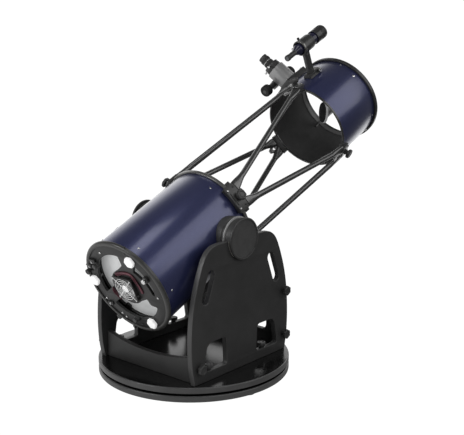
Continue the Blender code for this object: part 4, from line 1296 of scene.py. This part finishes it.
# ---------------------------------------------------------------- finder
def build_finder():
    centre = TUBE @ shift(0, 0, FINDER_HEIGHT) @ spin(-90, "X")
    bracket = shaped("finder_bracket")
    bracket.turn([(26.2, 778, 1.6), (26.2, 716, 1.6), (22.8, 716, 0.8), (22.8, 766, 0.6), (18.9, 766, 0.4),
                  (18.9, 778, 0.8)], centre, CAST, 96, closed=True, steps=4)
    bracket.turn([(27.2, 726, 0.8), (27.2, 718, 0.8), (25.5, 718), (25.5, 726)], centre, CAST_WARM_PAINTED_HIGHLIGHT, 96,
                 closed=True)
    top = TUBE @ shift(0, 746, 0)
    bracket.plate(filleted([(-7, 164), (7, 164), (6.2, 205, 20), (6.6, 245.5), (-6.6, 245.5),
                            (-6.2, 205, 20)], 4), 28, top @ spin(90, "X"), CAST, soft=1.8, rounds=3)
    bracket.block((-13, -24, 160), (13, 42, 166.5), top, CAST, 1.2)
    bracket.plate([(-13, 153), (-10, 152.85), (0.0, 153.18), (10, 152.85), (13, 153), (17, 152.5),
                   (15, 161), (-15, 161), (-17, 152.5)], 66, TUBE @ shift(0, 755, 0) @ spin(90, "X"), CAST,
                  soft=0.4)
    screw = TUBE @ shift(12.8, 774, 163.2) @ spin(90, "Y")
    bracket.turn([(0, 0), (2.2, 0), (2.2, 4), (7.2, 4, 0.6), (7.2, 12.5, 0.8), (0, 12.5)], screw, ZINC, 32,
                 lobes=14, depth=0.03)
    bracket.ride("tube", "casting")
    adjusters = Piece("finder_adjusters")
    for degrees, length, tip in ((0, 19, PLASTIC), (-100, 19, CHROME), (130, 19, PLASTIC)):
        where = TUBE @ shift(0, 723.5, FINDER_HEIGHT) @ spin(degrees, "Y") @ shift(0, 0, 18.7)
        adjusters.turn([(0, 0), (1.8, 0), (1.8, length * 0.70), (0, length * 0.70)], where, PLASTIC, 20)
        adjusters.turn([(0, length * 0.64), (4.6, length * 0.64, 0.4), (4.6, length, 0.6), (0, length)],
                       where, tip, 28, lobes=12, depth=0.03)
    adjusters.ride("tube", "chrome")
    build_finder_scope(centre)


def build_finder_scope(centre):
    """Blue barrel with a ribbed front cell; the rear narrows to a slim eyepiece tube."""
    scope = shaped("finder_scope")
    scope.turn([(0, 846.5), (12, 846), (22.2, 844), (22.4, 850)], centre, LENS, 80)
    scope.turn([(22.4, 844), (22.6, 859, 0.4), (24.5, 859, 1), (24.5, 804, 0.8), (23.2, 804, 0.6),
                (23, 816), (20.5, 818)], centre, SCOPE_BLACK, 80)
    for place in range(6):
        low = 830 + 4 * place
        scope.turn([(24.7, low + 2.6, 0.3), (24.7, low, 0.3), (24.3, low), (24.3, low + 2.6)], centre,
                   RUBBER, 80, closed=True)
    scope.turn([(20.5, 818.5), (20.5, 779, 0.8), (18.6, 778.6, 0.4), (18.6, 707, 4), (10.5, 690, 3),
                (9.4, 688)], centre, FINDER_BLUE, 80, steps=5)
    scope.turn([(9.6, 690), (9.4, 656, 0.6), (10, 654, 0.6), (10.5, 652, 0.6), (10.5, 641, 1.2),
                (8.8, 640, 0.6), (7, 641.2)], centre, PLASTIC, 80)
    scope.turn([(7.1, 641.2), (4, 641.8), (0, 642)], centre, LENS, 64)
    for k in range(20):
        scope.block((10.1, -0.6, 643), (10.8, 0.6, 650), centre @ spin(18 * k, "Z"), RUBBER, 0.2, 1)
    scope.ride("tube", "blue_paint")


# ---------------------------------------------------------------- studio
LOOK_AT = Vector((0.0, 0.15, 0.55))
AWAY = Vector((-0.65, 0.76, 0.0))                # level direction from the camera to the backdrop
ROOM, BACKDROP = 0.11, 1.15
FLOOR_HALF, FLOOR_DROP = 14.0, 0.0004
CAMERA_PLACE, CAMERA_LENS = (1.9445, -2.0911, 1.1262), 72.6
CAMERA_TURN, CAMERA_DIP = 40.465, 12.359      # degrees from +y towards -x, and below level


def softbox(name, azimuth, elevation, distance, size, radiance):
    """Rectangular softbox aimed at the telescope; azimuth counts from +x towards +y."""
    turn, rise = math.radians(azimuth), math.radians(elevation)
    direction = Vector((math.cos(turn) * math.cos(rise), math.sin(turn) * math.cos(rise), math.sin(rise)))
    data = bpy.data.lights.new(name, "AREA")
    data.shape = "RECTANGLE"
    data.size, data.size_y = size
    data.energy = radiance * math.pi * size[0] * size[1]
    light = bpy.data.objects.new(name, data)
    light.location = LOOK_AT + direction * distance
    light.rotation_euler = direction.to_track_quat("Z", "Y").to_euler()
    light.visible_camera = False
    bpy.context.scene.collection.objects.link(light)


def build_world():
    """White to the camera; to the telescope a bright low backdrop behind it and a dim room elsewhere."""
    world = bpy.data.worlds.new("studio")
    world.use_nodes = True
    bpy.context.scene.world = world
    made = Graph(world.node_tree, "Generated")
    behind = made.ease(made.along(AWAY), 0.40, 0.90)
    low = made.ease(made.axis("Z"), 0.82, 0.40)
    room = made.spread(made.combine("MULTIPLY", behind, low), ROOM, BACKDROP)
    background = made.tree.nodes["Background"]
    background.inputs["Color"].default_value = (1.0, 1.0, 1.0, 1.0)
    made.link(made.white_to_camera(room), background.inputs["Strength"])


def floor_material():
    """White paper to the camera; towards the telescope it glows at the front left and falls away behind."""
    made = Shader("white_floor")
    front = made.ease(made.along((-0.6, -0.8, 0.0)), -0.9, 1.1, 0.10, 0.90)
    behind = made.ease(made.axis("Y"), 1.3, 2.1)
    left = made.ease(made.axis("X"), 0.60, -0.10)
    total = made.combine("ADD", front, made.combine("MULTIPLY", behind, left))
    glow = made.node("ShaderNodeEmission")
    made.link(made.white_to_camera(total), glow.inputs["Strength"])
    made.link(glow.outputs["Emission"], made.tree.nodes["Material Output"].inputs["Surface"])
    return made.material


def build_studio():
    scene = bpy.context.scene
    scene.view_settings.view_transform = "Standard"
    mesh = bpy.data.meshes.new("studio_floor")
    corners = [(x * FLOOR_HALF, y * FLOOR_HALF, -FLOOR_DROP) for x, y in ((-1, -1), (1, -1), (1, 1),
                                                                          (-1, 1))]
    mesh.from_pydata(corners, [], [(0, 1, 2, 3)])
    mesh.materials.append(floor_material())
    plane = bpy.data.objects.new("studio_floor", mesh)
    scene.collection.objects.link(plane)
    build_world()
    softbox("right_softbox", 30, 34, 6.0, (5.2, 4.4), 1.4)
    softbox("overhead_softbox", -65, 72, 2.05, (0.7, 1.1), 2.3)
    softbox("front_left_softbox", -108, 24, 3.2, (1.8, 1.0), 6.6)
    softbox("front_right_softbox", -20, 24, 3.4, (1.6, 1.8), 2.0)


def build_camera():
    data = bpy.data.cameras.new("camera")
    data.sensor_width = 36.0
    data.lens = CAMERA_LENS
    camera = bpy.data.objects.new("camera", data)
    turn, dip = math.radians(CAMERA_TURN), math.radians(CAMERA_DIP)
    forward = Vector((-math.sin(turn) * math.cos(dip), math.cos(turn) * math.cos(dip), -math.sin(dip)))
    camera.location = CAMERA_PLACE
    camera.rotation_euler = forward.to_track_quat("-Z", "Y").to_euler()
    bpy.context.scene.collection.objects.link(camera)
    bpy.context.scene.camera = camera


build_camera()
build_base()
build_rocker()
build_lower_tube()
build_cell()
build_fan()
build_bearings()
build_poles()
build_upper_clamps()
build_truss_knobs()
build_upper_tube()
build_secondary()
build_focuser()
build_finder()
build_studio()
